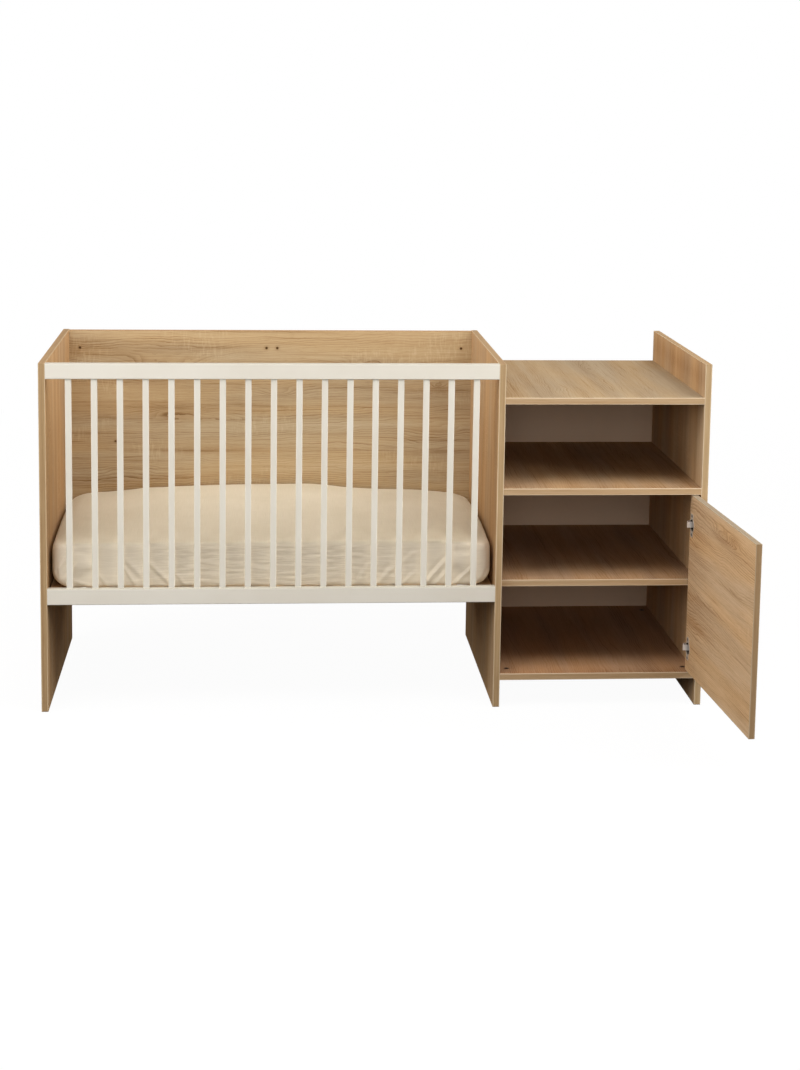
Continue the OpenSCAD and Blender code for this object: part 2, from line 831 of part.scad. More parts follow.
module cabinet_back() {
    color("whitesmoke")
        block([cab_x0 - groove_d + eps, cab_x1 + groove_d - eps], [hdf_y0, hdf_y1],
            [hdf_z0, hdf_z1]);
}

module shelf_pin() {
    rod_x(-shelf_pin_bite, spoon_l, shelf_pin_d);
    block([0, spoon_l], [-spoon_w / 2, spoon_w / 2], [0, shelf_pin_d / 2 + spoon_h]);
}

module shelf_pins() {
    color("silver")
        for (y = shelf_pin_ys) {
            translate([cab_x0, y, shelf_pin_z]) shelf_pin();
            translate([cab_x1, y, shelf_pin_z]) rotate([0, 0, 180]) shelf_pin();
        }
}

// ---- Door and hinges ----

module at_door() {
    translate([pivot[0], pivot[1], 0]) rotate([0, 0, door_open])
        translate([-pivot[0], -pivot[1], 0]) children();
}

module at_hinge(z) {
    translate([pivot[0], pivot[1], z]) children();
}

module at_hinges() {
    for (z = HINGE_ZS) at_hinge(z) children();
}

module door_inside(extra) {
    block([door_x0 + band_t, door_x1 - band_t], [front_y - extra, front_y + door_t + extra],
        [door_z0 + band_t, door_z1 - band_t]);
}

module door() {
    color("burlywood") at_door() difference() {
        door_inside(0);
        at_hinges() {
            translate([cup_x, face_y + eps, 0]) rotate([90, 0, 0])
                cylinder(h = cup_depth + eps, r = cup_r);
            cup_screw_set(fixed_fit);
        }
    }
}

module door_edge_band() {
    color("tan") at_door() difference() {
        eased_block([door_x0, door_x1], [front_y, front_y + door_t], [door_z0, door_z1]);
        door_inside(eps);
    }
}

// The two screws of a hinge cup, heads on the flange
module cup_screw_set(grow) {
    for (s = [-1, 1])
        translate([cup_x, face_y + flange_t, s * cup_screw_z]) rotate([-90, 0, 0])
            wood_screw(cup_screw_l, grow);
}

// The pressed cup with its flange, and the two ears that hold the pin
module hinge_cup() {
    difference() {
        union() {
            translate([cup_x, face_y + flange_t, 0]) rotate([90, 0, 0]) difference() {
                union() {
                    cylinder(h = cup_depth + flange_t - snug, r = cup_r - run_fit);
                    cylinder(h = flange_t, r = flange_r);
                    linear_extrude(flange_t) round_rect(wing_w, wing_h, wing_round);
                }
                translate([0, 0, -eps])
                    cylinder(h = cup_depth + flange_t - cup_floor - snug + eps, r = cup_r - cup_wall);
            }
            intersection() {
                for (s = [-1, 1])
                    translate([-ear_t / 2, cup_floor_y + snug,
                               s > 0 ? arm_w / 2 + ear_gap : -cup_r])
                        cube([ear_t, ear_top - cup_floor_y - snug,
                              cup_r - arm_w / 2 - ear_gap]);
                translate([cup_x, face_y, 0]) rotate([90, 0, 0])
                    cylinder(h = cup_depth - snug, r = cup_r - run_fit);
            }
        }
        cup_screw_set(fixed_fit);
        translate([0, 0, -pin_half - end_slack])
            cylinder(h = 2 * (pin_half + end_slack), r = pin_r + fixed_fit);
    }
}

module hinge_cup_upper() {
    color("silver") at_door() at_hinge(hinge_z_upper) hinge_cup();
}

module hinge_cup_lower() {
    color("silver") at_door() at_hinge(hinge_z_lower) hinge_cup();
}

module hinge_pins() {
    color("gray") at_door() at_hinges()
        translate([0, 0, -pin_half]) cylinder(h = 2 * pin_half, r = pin_r);
}

module cup_screws() {
    color("gray") at_door() at_hinges() cup_screw_set(0);
}

// A flat ring as thick as the arm, seen along the pin
module arm_ring(r) {
    difference() {
        circle(r + arm_t / 2);
        circle(r - arm_t / 2);
    }
}

// The arm seen along the pin: knuckle, neck, gooseneck round the door's edge, bend, shank
module arm_profile() {
    reach = 2 * arm_r;
    circle(knuckle_r);
    intersection() {
        rotate(neck_angle) translate([0, -arm_t / 2]) square([reach, arm_t]);
        circle(arm_r + arm_t / 2);
    }
    intersection() {
        arm_ring(arm_r);
        polygon([[0, 0], [0, reach], [-reach, reach],
            reach * [cos(neck_angle), sin(neck_angle)]]);
    }
    translate([0, arm_r - arm_t / 2]) square([arm_x - bend_r, arm_t]);
    translate([arm_x - bend_r, arm_y0]) intersection() {
        arm_ring(bend_r);
        translate([0, -reach]) square(reach);
    }
    translate([arm_x - arm_t / 2, arm_y0]) square([arm_t, arm_end_y - arm_y0]);
}

module hinge_arm() {
    difference() {
        linear_extrude(arm_w, center = true) arm_profile();
        translate([0, 0, -arm_w]) cylinder(h = 2 * arm_w, r = pin_r + run_fit);
        arm_screw(fixed_fit);
    }
}

module hinge_arm_upper() {
    color("silver") at_hinge(hinge_z_upper) hinge_arm();
}

module hinge_arm_lower() {
    color("silver") at_hinge(hinge_z_lower) hinge_arm();
}

// The small screw that clamps the arm on its plate
module arm_screw(grow) {
    translate([arm_x - arm_t / 2, arm_screw_y, 0]) rotate([0, -90, 0])
        wood_screw(arm_screw_l, grow);
}

// The two screws of a mounting plate, heads in the plate
module plate_screw_set(grow) {
    for (s = [-1, 1])
        translate([wall_x - plate_t, plate_y, s * plate_screw_z]) rotate([0, -90, 0])
            wood_screw(plate_screw_l, grow);
}

module hinge_plate() {
    difference() {
        union() {
            translate([wall_x - plate_t, plate_y, 0]) rotate([90, 0, 90])
                linear_extrude(plate_t) round_rect(plate_wing_w, plate_wing_h, wing_round);
            block([wall_x - plate_t, wall_x], [arm_y0 + bend_r, arm_end_y - bend_r],
                [-arm_w / 2, arm_w / 2]);
        }
        plate_screw_set(fixed_fit);
        arm_screw(fixed_fit);
    }
}

module hinge_plate_upper() {
    color("silver") at_hinge(hinge_z_upper) hinge_plate();
}

module hinge_plate_lower() {
    color("silver") at_hinge(hinge_z_lower) hinge_plate();
}

module plate_screws() {
    color("gray") at_hinges() {
        plate_screw_set(0);
        arm_screw(0);
    }
}

left_end_panel();
middle_panel();
side_panel();
crib_back_panel();
panel_edge_bands();
back_edge_bands();
shelf_edge_bands();
top_rail();
bottom_rail();
for (i = [1:bar_count]) bar(i);
base_front_beam();
base_centre_beam();
base_rear_beam();
base_left_beam();
base_right_beam();
base_slats();
slat_screws();
cleat_left();
cleat_right();
cleat_screws();
mattress();
fitted_sheet();
changer_top();
upper_shelf();
inner_shelf();
bottom_board();
cabinet_back();
shelf_pins();
cam_housings();
cam_bolts();
dowels();
door();
door_edge_band();
hinge_cup_upper();
hinge_cup_lower();
hinge_arm_upper();
hinge_arm_lower();
hinge_plate_upper();
hinge_plate_lower();
hinge_pins();
cup_screws();
plate_screws();
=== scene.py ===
"""Looks of the crib with its changing cabinet, in metres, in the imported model's frame.

The boards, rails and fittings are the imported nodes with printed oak, paint and metal on
them. The mattress, its fitted sheet and the cross-head screws are modelled here.
"""

import math

import bmesh
import bpy
import numpy as np
from mathutils import Matrix, Vector


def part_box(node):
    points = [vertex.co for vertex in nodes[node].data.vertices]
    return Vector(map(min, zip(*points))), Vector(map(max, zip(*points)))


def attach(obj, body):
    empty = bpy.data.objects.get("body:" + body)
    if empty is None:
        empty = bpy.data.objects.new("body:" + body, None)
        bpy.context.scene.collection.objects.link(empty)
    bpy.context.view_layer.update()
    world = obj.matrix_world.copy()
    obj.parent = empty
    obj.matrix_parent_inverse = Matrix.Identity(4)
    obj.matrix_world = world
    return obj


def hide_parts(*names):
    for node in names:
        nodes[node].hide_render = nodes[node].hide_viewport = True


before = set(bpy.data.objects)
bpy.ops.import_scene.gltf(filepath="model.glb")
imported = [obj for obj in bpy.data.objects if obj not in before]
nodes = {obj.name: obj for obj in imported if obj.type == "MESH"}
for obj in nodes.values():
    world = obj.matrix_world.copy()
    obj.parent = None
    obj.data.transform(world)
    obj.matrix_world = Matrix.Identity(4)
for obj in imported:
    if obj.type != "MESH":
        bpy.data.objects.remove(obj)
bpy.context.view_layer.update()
MM = 0.001


# ---- Camera and lights ----

# The photograph's camera: place, turns in degrees, and a lens shifted down the picture
CAMERA_PLACE = (-0.6629, -5.0882, 1.7085)
CAMERA_YAW, CAMERA_PITCH, CAMERA_ROLL = -3.987, -7.364, -0.738
CAMERA_LENS, CAMERA_SENSOR = 61.35, 36.0
CAMERA_SHIFT = (0.0187, -0.2103)

# Softboxes, aimed near the middle of the object: name, degrees round it from the front,
# where the left is below zero, degrees above the floor, distance and power in watts
LIT_POINT = Vector((-0.33, 0.0, 0.5))
SOFTBOX_SIZE = (2.2, 1.3)
SOFTBOXES = [
    ("softbox_front", 3, 12, 4.6, 26.0),
    ("softbox_above", 0, 65, 4.0, 25.0),
    ("softbox_top", 0, 80, 4.0, 23.0),
    ("softbox_left_low", -75, 15, 4.0, 54.0),
    ("softbox_left_front", -45, 15, 4.0, 19.0),
    ("softbox_left_high", -50, 50, 4.0, 56.0),
    ("softbox_right_low", 70, 15, 4.0, 61.0),
    ("softbox_right", 55, 30, 4.0, 19.0),
    ("softbox_right_high", 53, 52, 4.0, 64.0),
    ("softbox_back", 180, 25, 4.6, 55.0),
    ("softbox_back_left", -135, 25, 4.6, 25.0),
    ("softbox_back_right", 135, 25, 4.6, 25.0),
]


def photo_camera():
    """The camera at the photograph's viewing angle."""
    lens = bpy.data.cameras.new("photo_camera")
    lens.sensor_width = CAMERA_SENSOR
    lens.lens = CAMERA_LENS
    lens.shift_x, lens.shift_y = CAMERA_SHIFT
    camera = bpy.data.objects.new("photo_camera", lens)
    bpy.context.scene.collection.objects.link(camera)
    turn = (
        Matrix.Rotation(math.radians(CAMERA_YAW), 4, "Z")
        @ Matrix.Rotation(math.radians(CAMERA_PITCH), 4, "X")
        @ Matrix.Rotation(math.radians(CAMERA_ROLL), 4, "Y")
        @ Matrix.Rotation(math.radians(90), 4, "X")
    )
    camera.matrix_world = Matrix.Translation(CAMERA_PLACE) @ turn
    bpy.context.scene.camera = camera


def softbox(name, round_it, above, distance, power):
    """A rectangular studio light."""
    turn, lift = math.radians(round_it), math.radians(above)
    level = Vector((math.sin(turn), -math.cos(turn), 0)) * math.cos(lift)
    off = (level + Vector((0, 0, math.sin(lift)))) * distance
    light = bpy.data.lights.new(name, "AREA")
    light.shape = "RECTANGLE"
    light.size, light.size_y = SOFTBOX_SIZE
    light.energy = power
    lamp = bpy.data.objects.new(name, light)
    lamp.location = LIT_POINT + off
    lamp.rotation_euler = (-off).to_track_quat("-Z", "Y").to_euler()
    bpy.context.scene.collection.objects.link(lamp)


# ---- Finishes ----


def paint(red, green, blue):
    """A display colour, 0 to 255, as the linear colour that a shader takes."""

    def linear(part):
        return part / 12.92 if part <= 0.04045 else ((part + 0.055) / 1.055) ** 2.4

    return tuple(linear(part / 255) for part in (red, green, blue)) + (1.0,)


class Value:
    """A shader socket that can be used in Python expressions."""

    def __init__(self, finish, socket):
        self.finish = finish
        self.socket = socket

    def maths(self, operation, *values):
        settings = {"operation": operation}
        return self.finish.node("ShaderNodeMath", settings, dict(enumerate(values)))

    def __add__(self, other):
        return self.maths("ADD", self, other)

    __radd__ = __add__

    def __sub__(self, other):
        return self.maths("SUBTRACT", self, other)

    def __rsub__(self, other):
        return self.maths("SUBTRACT", other, self)

    def __mul__(self, other):
        return self.maths("MULTIPLY", self, other)

    __rmul__ = __mul__

    def __truediv__(self, other):
        return self.maths("DIVIDE", self, other)

    def __rtruediv__(self, other):
        return self.maths("DIVIDE", other, self)

    def __pow__(self, other):
        return self.maths("POWER", self, other)

    def __abs__(self):
        return self.maths("ABSOLUTE", self)

    def __gt__(self, other):
        return self.maths("GREATER_THAN", self, other)

    def __lt__(self, other):
        return self.maths("LESS_THAN", self, other)

    def floor(self):
        return self.maths("FLOOR", self)

    def sine(self):
        return self.maths("SINE", self)

    def most(self, other):
        return self.maths("MAXIMUM", self, other)

    def rise(self, low, high):
        """0 below low, 1 above high, and a smooth step between them."""
        settings = {"interpolation_type": "SMOOTHSTEP"}
        return self.finish.node("ShaderNodeMapRange", settings, {0: self, 1: low, 2: high})


class Finish:
    """One finish, built from nodes, on a new material or on what is given."""

    def __init__(self, name, owner=None):
        self.material = owner or bpy.data.materials.new(name)
        self.material.use_nodes = True
        self.tree = self.material.node_tree
        self.tree.nodes.clear()

    def node(self, kind, settings=None, sockets=None, output=0):
        """Adds a node, sets it, fills or links its sockets, and gives one of its outputs."""
        made = self.tree.nodes.new(kind)
        for name, setting in (settings or {}).items():
            if name == "stops":
                while len(made.color_ramp.elements) < len(setting):
                    made.color_ramp.elements.new(0.5)
                for stop, (position, colour) in zip(made.color_ramp.elements, setting):
                    stop.position, stop.color = position, colour
            else:
                setattr(made, name, setting)
        for name, value in (sockets or {}).items():
            if isinstance(value, Value):
                self.tree.links.new(value.socket, made.inputs[name])
            else:
                made.inputs[name].default_value = value
        return Value(self, made.outputs[output]) if made.outputs else None

    def place(self):
        """The point's three coordinates in the model's frame, at rest."""
        spot = self.node("ShaderNodeTexCoord", output="Object")
        split = self.node("ShaderNodeSeparateXYZ", sockets={0: spot}).socket.node
        return [Value(self, axis) for axis in split.outputs]

    def noise(self, x, y, z=0.0, detail=2.0, roughness=0.5):
        """Cloudy noise about one half, at a point given by values or numbers."""
        point = self.node("ShaderNodeCombineXYZ", sockets={0: x, 1: y, 2: z})
        sockets = {"Vector": point, "Scale": 1.0, "Detail": detail, "Roughness": roughness}
        return self.node("ShaderNodeTexNoise", sockets=sockets)

    def chance(self, value):
        """A number from 0 to 1 that differs from one whole number to the next."""
        return self.node("ShaderNodeTexWhiteNoise", {"noise_dimensions": "1D"}, {"W": value})

    def ramp(self, value, stops):
        return self.node("ShaderNodeValToRGB", {"stops": stops}, {0: value})

    def mix(self, share, first, second):
        """The first colour, with a share of the second in its place."""
        settings, sockets = {"data_type": "RGBA"}, {0: share, 6: first, 7: second}
        return self.node("ShaderNodeMix", settings, sockets, output=2)

    def seen(self):
        """1 for what the camera sees directly, or in a reflection or through glass."""
        path = self.node("ShaderNodeLightPath").socket.node.outputs
        kinds = ("Is Camera Ray", "Is Glossy Ray", "Is Transmission Ray")
        direct, reflected, through = (Value(self, path[kind]) for kind in kinds)
        return direct.most(reflected).most(through)

    def bump(self, height, distance, strength):
        sockets = {"Height": height, "Distance": distance, "Strength": strength}
        return self.node("ShaderNodeBump", sockets=sockets)

    def surface(self, **sockets):
        """Ends the material in one Principled surface. Names are written with underscores."""
        named = {name.replace("_", " "): value for name, value in sockets.items()}
        shader = self.node("ShaderNodeBsdfPrincipled", sockets=named)
        self.node("ShaderNodeOutputMaterial", sockets={"Surface": shader})
        return self.material


# Printed oak from dark to pale, as it looks where it is warm and where it is greyer
WARM_OAK = [
    (0.00, (112, 78, 50)), (0.30, (160, 123, 84)), (0.55, (193, 160, 119)),
    (0.80, (211, 183, 145)), (1.00, (226, 203, 170)),
]
GREY_OAK = [
    (0.00, (104, 79, 58)), (0.30, (150, 122, 92)), (0.55, (182, 158, 128)),
    (0.80, (204, 183, 153)), (1.00, (222, 205, 179)),
]

# Tone that a calmer figure closes in on
OAK_MIDDLE_TONE = 0.55

# Metres from one growth ring to the next
RING = 0.0064

# A height this close to a face counts as on it
SKIN = 0.0004


def tinted(stops, tint):
    """Ramp stops with each display colour multiplied by a tint."""
    return [(at, paint(*(c * t for c, t in zip(colour, tint)))) for at, colour in stops]


def nearness(along, across, figure):
    """1 at a figure's middle and falling to 0 round it, long along the grain."""
    off_along = (along - figure[0]) / figure[2]
    off_across = (across - figure[1]) / figure[3]
    return 1 / (off_along * off_along + off_across * off_across + 1) ** 2


def oak_print(finish, along, across, seed, figures):
    """Tone of the printed oak, 0 dark to 1 pale, from metres along and across its grain.

    A figure is a place along and across, a reach along and across, how many growth rings
    close round it, and how much darker it is. Figures without rings are broad darker and
    paler patches, most of them painted shade and painted light.
    """
    drift = finish.noise(along * 2.0, across * 8.0, seed, detail=1.0)
    bend = finish.noise(along * 8.0, across * 15.0, seed + 5.0, detail=1.0)
    ripple = finish.noise(along * 26.0, across * 60.0, seed + 4.0, detail=2.0)
    rings = across * (1 / RING) + drift * 11.0 + bend * 3.0 + ripple * 1.1
    strong = finish.noise(along * 2.6, across * 10.0, seed + 9.0).rise(0.46, 0.66)
    shade = 0
    for figure in figures:
        near = nearness(along, across, figure)
        rings = rings + near * figure[4]
        strong = strong.most(near * 1.2)
        shade = shade + near * figure[5]
    step = rings - rings.floor()
    line = (1 - step) ** 2.2 * (finish.chance(rings.floor()) * 0.75 + 0.25)
    streak = finish.noise(along * 0.9, across * 24.0, seed + 2.0, detail=3.0)
    thread = finish.noise(along * 3.2, across * 130.0, seed + 17.0, detail=2.0)
    fibre = finish.noise(along * 10.0, across * 430.0, seed, detail=3.0, roughness=0.6)
    pores = finish.noise(along * 40.0, across * 850.0, seed + 6.0).rise(0.60, 0.72)
    patch = finish.noise(along * 3.4, across * 9.0, seed + 13.0).rise(0.54, 0.68)
    marks = finish.noise(along * 210.0, across * 34.0, seed + 21.0).rise(0.50, 0.62) * patch
    tone = (
        0.61
        - line * (strong * 0.26 + 0.13)
        + (streak - 0.5) * 0.48
        + (fibre - 0.5) * 0.42
        - thread.rise(0.58, 0.74) * 0.14
        - pores * 0.15
        + marks * 0.09
        - shade
    )
    return tone, line * 0.5 + pores


def oak_laminate(name, along_axis, across_axis, seed, tint, calm, figures=(), spots=()):
    """Melamine board with a printed oak figure and a fine pressed pore.

    The lower calm is, the fainter the figure. Spots are small dark places along and across
    the grain, each with its radius.
    """
    finish = Finish(name)
    spot = dict(zip("xyz", finish.place()))
    along, across = spot[along_axis], spot[across_axis]
    tone, pores = oak_print(finish, along, across, seed, figures)
    tone = (tone - OAK_MIDDLE_TONE) * calm + OAK_MIDDLE_TONE
    for at_along, at_across, radius in spots:
        off_along, off_across = along - at_along, across - at_across
        away = (off_along * off_along + off_across * off_across) ** 0.5 / radius
        tone = tone * away.rise(0.5, 1.5) - (1 - away.rise(1.0, 3.5)) * 0.10
    warm, grey = (finish.ramp(tone, tinted(stops, tint)) for stops in (WARM_OAK, GREY_OAK))
    greying = finish.noise(along * 1.6, across * 11.0, seed + 30.0, detail=2.0)
    colour = finish.mix(greying.rise(0.36, 0.66) * 0.65, warm, grey)
    grain = finish.bump(1 - pores, 0.05 * MM, 0.6)
    roughness = 0.58 + pores * 0.10
    return finish.surface(
        Base_Color=colour, Roughness=roughness, Normal=grain, Specular_IOR_Level=0.0
    )


# A strip's paler corner lines, partly the band's own trimmed corner and partly a painted
# highlight where the corner catches the light: where they start and where they are full, in
# from a face, and how much paler they are. A strip reaches a little beyond its board's faces.
LINE_STARTS, LINE_FULL, LINE_PALER = 0.0030, 0.0012, 0.38
STRIP_REACH = 0.0005

# Height of a strip's upper face, the darker colour that this face leans to as painted shade,
# and how far it does
PANEL_TOPS = (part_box("panel_edge_bands")[1].z, (142, 118, 92))
DOOR_TOP = (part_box("door_edge_band")[1].z, (137, 134, 122))
TOP_SHARE = 0.6


def oak_band(name, along, across, seed, tint, edges=(), top=PANEL_TOPS):
    """Edge strip with a fine straight grain, and paler corner lines, partly a painted highlight.

    Across is the direction through the board, as shares of the three axes. Each of the
    edges is a board's middle and half thickness along it, and how much darker its strip is.
    Top is the upper face's height and its colour of painted shade, as in PANEL_TOPS.
    """
    finish = Finish(name)
    spot = dict(zip("xyz", finish.place()))
    run = sum((spot[axis] for axis in along[1:]), spot[along[0]])
    side = sum(value * share for value, share in zip(spot.values(), across) if share)
    streak = finish.noise(run * 2.0, side * 160.0, seed, detail=3.0)
    fibre = finish.noise(run * 14.0, side * 700.0, seed + 3.0, detail=2.0)
    tone = 0.58 + (streak - 0.5) * 0.40 + (fibre - 0.5) * 0.35
    for middle, half, shade in edges:
        off = abs(side - middle)
        # Paler corner lines: partly the band's own corner, partly a painted highlight
        paler = off.rise(half - LINE_STARTS, half - LINE_FULL) * LINE_PALER
        tone = tone + (paler - shade) * (off < half + STRIP_REACH)
    colour = finish.ramp(tone, tinted(WARM_OAK, tint))
    height, top_colour = top
    # Painted shade on the strip's upper face
    topmost = spot["z"] > height - SKIN
    colour = finish.mix(topmost * TOP_SHARE, colour, paint(*top_colour))
    grain = finish.bump(fibre, 0.04 * MM, 0.5)
    return finish.surface(
        Base_Color=colour, Roughness=0.55, Normal=grain, Specular_IOR_Level=0.0
    )


# The rails' upper faces with their eased corners, which lean to a darker colour as painted shade
UPPER_RAIL_TOP, LOWER_RAIL_TOP = (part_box(rail)[1].z for rail in ("top_rail", "bottom_rail"))
RAIL_EASE = 0.0012


def white_paint():
    """Sprayed warm white on the rails and bars, with a faint orange peel, and painted shade on the
    rails' upper faces.
    """
    finish = Finish("warm_white_paint")
    x, y, z = finish.place()
    peel = finish.noise(x * 420.0, y * 420.0, z * 420.0, detail=2.0)
    cloud = finish.noise(x * 5.0, y * 5.0, z * 7.0, detail=3.0)
    grain = finish.noise(x * 60.0, y * 60.0, z * 9.0, detail=2.0)
    colour = finish.mix(cloud.rise(0.3, 0.7), paint(234, 229, 215), paint(238, 234, 221))
    # Painted shade: the rails' upper faces and eased corners lean to a darker beige
    upper = z > UPPER_RAIL_TOP - RAIL_EASE
    lower = (z > LOWER_RAIL_TOP - RAIL_EASE) * (z < LOWER_RAIL_TOP + SKIN)
    colour = finish.mix((upper + lower) * 0.85, colour, paint(176, 170, 155))
    normal = finish.bump(peel * 0.6 + grain * 0.4, 0.06 * MM, 0.5)
    return finish.surface(
        Base_Color=colour, Roughness=0.42 + cloud * 0.08, Normal=normal, Specular_IOR_Level=0.0
    )


def bare_timber(name, along_axis, seed):
    """Planed softwood with its growth lines along one axis."""
    finish = Finish(name)
    spot = dict(zip("xyz", finish.place()))
    along = spot.pop(along_axis)
    first, second = spot.values()
    warp = finish.noise(along * 2.0, first * 14.0, second * 14.0 + seed, detail=2.0)
    rings = first * 240.0 + second * 90.0 + warp * 7.0
    step = rings - rings.floor()
    fibre = finish.noise(along * 12.0, first * 700.0, second * 700.0, detail=2.0)
    tone = 0.55 - (1 - step) ** 3.0 * 0.22 + (fibre - 0.5) * 0.5 + (warp - 0.5) * 0.3
    stops = [(0.1, paint(176, 132, 84)), (0.55, paint(218, 184, 136)), (1.0, paint(236, 212, 172))]
    colour = finish.ramp(tone, stops)
    normal = finish.bump(fibre, 0.15 * MM, 0.5)
    return finish.surface(Base_Color=colour, Roughness=0.62, Normal=normal)


def fibreboard():
    """Thin back sheet: white lacquer in painted warm shade on the front, raw brown fibre behind.
    """
    finish = Finish("white_fibreboard")
    x, y, z = finish.place()
    low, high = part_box("cabinet_back")
    behind = y > high.y - (high.y - low.y) * 0.3
    fleck = finish.noise(x * 260.0, z * 260.0, 0.0, detail=4.0, roughness=0.7)
    cloud = finish.noise(x * 7.0, z * 7.0, 3.0, detail=3.0)
    brown = [(0.3, paint(112, 80, 54)), (0.7, paint(158, 122, 86))]
    raw = finish.ramp(fleck + (cloud - 0.5) * 0.4, brown)
    # The white front is a darker warm beige: painted shade and painted bounce light from the oak
    white = finish.mix(cloud, paint(219, 193, 166), paint(226, 200, 174))
    colour = finish.mix(behind, white, raw)
    normal = finish.bump(fleck, 0.1 * MM, 0.4)
    return finish.surface(
        Base_Color=colour, Roughness=0.5 + behind * 0.3, Normal=normal, Specular_IOR_Level=0.05
    )


# Direction through the door, which stands 3.5 degrees beyond square at rest
DOOR_TURN = math.radians(3.5)
THROUGH_DOOR = Vector((math.cos(DOOR_TURN), math.sin(DOOR_TURN), 0))


def metal(name, colour, roughness, scratch, shine=1.0, dark_from=None):
    """Plated steel or cast zinc with a faint uneven sheen.

    It is darkened beyond dark_from, a distance along THROUGH_DOOR, as painted shade in a hollow.
    """
    finish = Finish(name)
    x, y, z = finish.place()
    cloud = finish.noise(x * 160.0, y * 160.0, z * 160.0, detail=3.0)
    fine = finish.noise(x * 1900.0, y * 1900.0, z * 500.0, detail=2.0)
    shade = finish.mix(cloud, colour, tuple(c * 0.86 for c in colour[:3]) + (1.0,))
    if dark_from is not None:
        # Painted shade inside the hinge cup's hollow
        inside = x * THROUGH_DOOR[0] + y * THROUGH_DOOR[1] > dark_from
        shade = finish.mix(inside * 0.9, shade, paint(58, 48, 40))
    normal = finish.bump(fine, 0.03 * MM, scratch)
    rough = cloud * 0.16 + (roughness - 0.08)
    return finish.surface(Base_Color=shade, Metallic=shine, Roughness=rough, Normal=normal)


# Metres over which the weave repeats
THREAD = 0.0011


def woven(name, pale, deep, crease=0.0):
    """Plain cotton: a fine weave and slubs along both threads.

    With a crease height, it is also paler below the bed's edge as painted light, and creased
    on the front with painted shade along the creases.
    """
    finish = Finish(name)
    x, y, z = finish.place()
    warp = (x * (2 * math.pi / THREAD)).sine()
    weft = ((y + z) * (2 * math.pi / THREAD)).sine()
    weave = warp * weft
    slub = finish.noise(x * 14.0, (y + z) * 620.0, 1.0, detail=2.0)
    cross_slub = finish.noise(x * 620.0, (y + z) * 14.0, 5.0, detail=2.0)
    cloud = finish.noise(x * 6.0, y * 6.0, z * 9.0, detail=3.0)
    tone = 0.5 + (slub - 0.5) * 0.5 + (cross_slub - 0.5) * 0.4 + (cloud - 0.5) * 0.5 + weave * 0.05
    colour = finish.mix(tone.rise(0.2, 0.8), deep, pale)
    height = weave * 0.10 + slub * 0.35 + cross_slub * 0.2
    if crease:
        edge = BED_LOW.z + EDGE_HEIGHT
        below = 1 - z.rise(edge - 8 * MM, edge + 4 * MM)
        # Painted light: the sheet's front and sides below the edge are paler
        colour = finish.mix(below * 0.92, colour, paint(249, 239, 219))
        drift = finish.noise(x * 3.0, y * 3.0, z * 4.0) * 0.05
        press = finish.noise(x * 7.0, (z + drift) * 150.0, 2.0, detail=3.0, roughness=0.6)
        front = 1 - y.rise(BED_LOW.y + 4 * MM, BED_LOW.y + 16 * MM)
        middle = 1 - abs(x - BED_MIDDLE_X).rise(0.22, 0.46)
        height = height + press * front * (middle * 0.8 + 0.2) * crease
        lines = (1 - abs(press - 0.5) * 9.0).most(0.0) * front * (middle * 0.7 + 0.3)
        # Painted shade along the creases on the front
        colour = finish.mix(lines * below * 0.30, colour, paint(178, 162, 132))
    normal = finish.bump(height, 0.35 * MM, 0.8)
    return finish.surface(
        Base_Color=colour, Roughness=0.86, Normal=normal, Specular_IOR_Level=0.1
    )


def wear(node, material):
    """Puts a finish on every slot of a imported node."""
    for place in nodes[node].material_slots:
        place.material = material


# ---- Shapes made from points ----


def piece(name, points, faces, material, body, smooth=True):
    """A mesh piece in the model's frame that rides on a body."""
    mesh = bpy.data.meshes.new(name)
    mesh.from_pydata([tuple(p) for p in points], [], faces)
    mesh.materials.append(material)
    for face in mesh.polygons:
        face.use_smooth = smooth
    made = bpy.data.objects.new(name, mesh)
    bpy.context.scene.collection.objects.link(made)
    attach(made, body)
    return made


def cord(line, radius, sides=8):
    """Points and faces of a round cord along a closed and level line of points."""
    line = [Vector(p) for p in line]
    points, faces, count = [], [], len(line)
    for index, here in enumerate(line):
        run = (line[(index + 1) % count] - line[index - 1]).normalized()
        side = run.cross(Vector((0, 0, 1))).normalized()
        up = side.cross(run)
        for k in range(sides):
            turn = 2 * math.pi * k / sides
            points.append(here + (side * math.cos(turn) + up * math.sin(turn)) * radius)
            a, b = index * sides, (index + 1) % count * sides
            faces.append((a + k, b + k, b + (k + 1) % sides, a + (k + 1) % sides))
    return points, faces


# ---- Bed ----

BED_LOW, BED_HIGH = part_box("fitted_sheet")
BED_MIDDLE_X = (BED_LOW.x + BED_HIGH.x) / 2

# Height of the bed's edge above the slats, and how far the top rises between its front and
# rear edges, at the ends and in the middle
EDGE_HEIGHT = 0.125
END_HUMP, MIDDLE_HUMP = 0.021, 0.010

# How far the sheet and the mattress's core lie inside the bed's full size, and how far
# their undersides lie above the slats
SHEET_MARGIN, CORE_MARGIN = 0.003, 0.010
SHEET_LIFT, CORE_LIFT = 0.003, 0.004

# How far the sheet may swell, what it leaves free at its ends, front and rear, the width of
# its hem under the mattress, and the size that its mesh is cut to
SWELL = 0.003
SLACK = 0.001
HEM = 0.11
SHEET_VOXEL = 0.007

# The cord round the mattress's underside: radius, height, and how far in it lies
PIPING_RADIUS, PIPING_HEIGHT, PIPING_MARGIN = 0.0028, 0.0115, 0.018

# Radius of the bed's corners where it isn't read from CORNER_ROUND
PLAIN_CORNER = 0.05

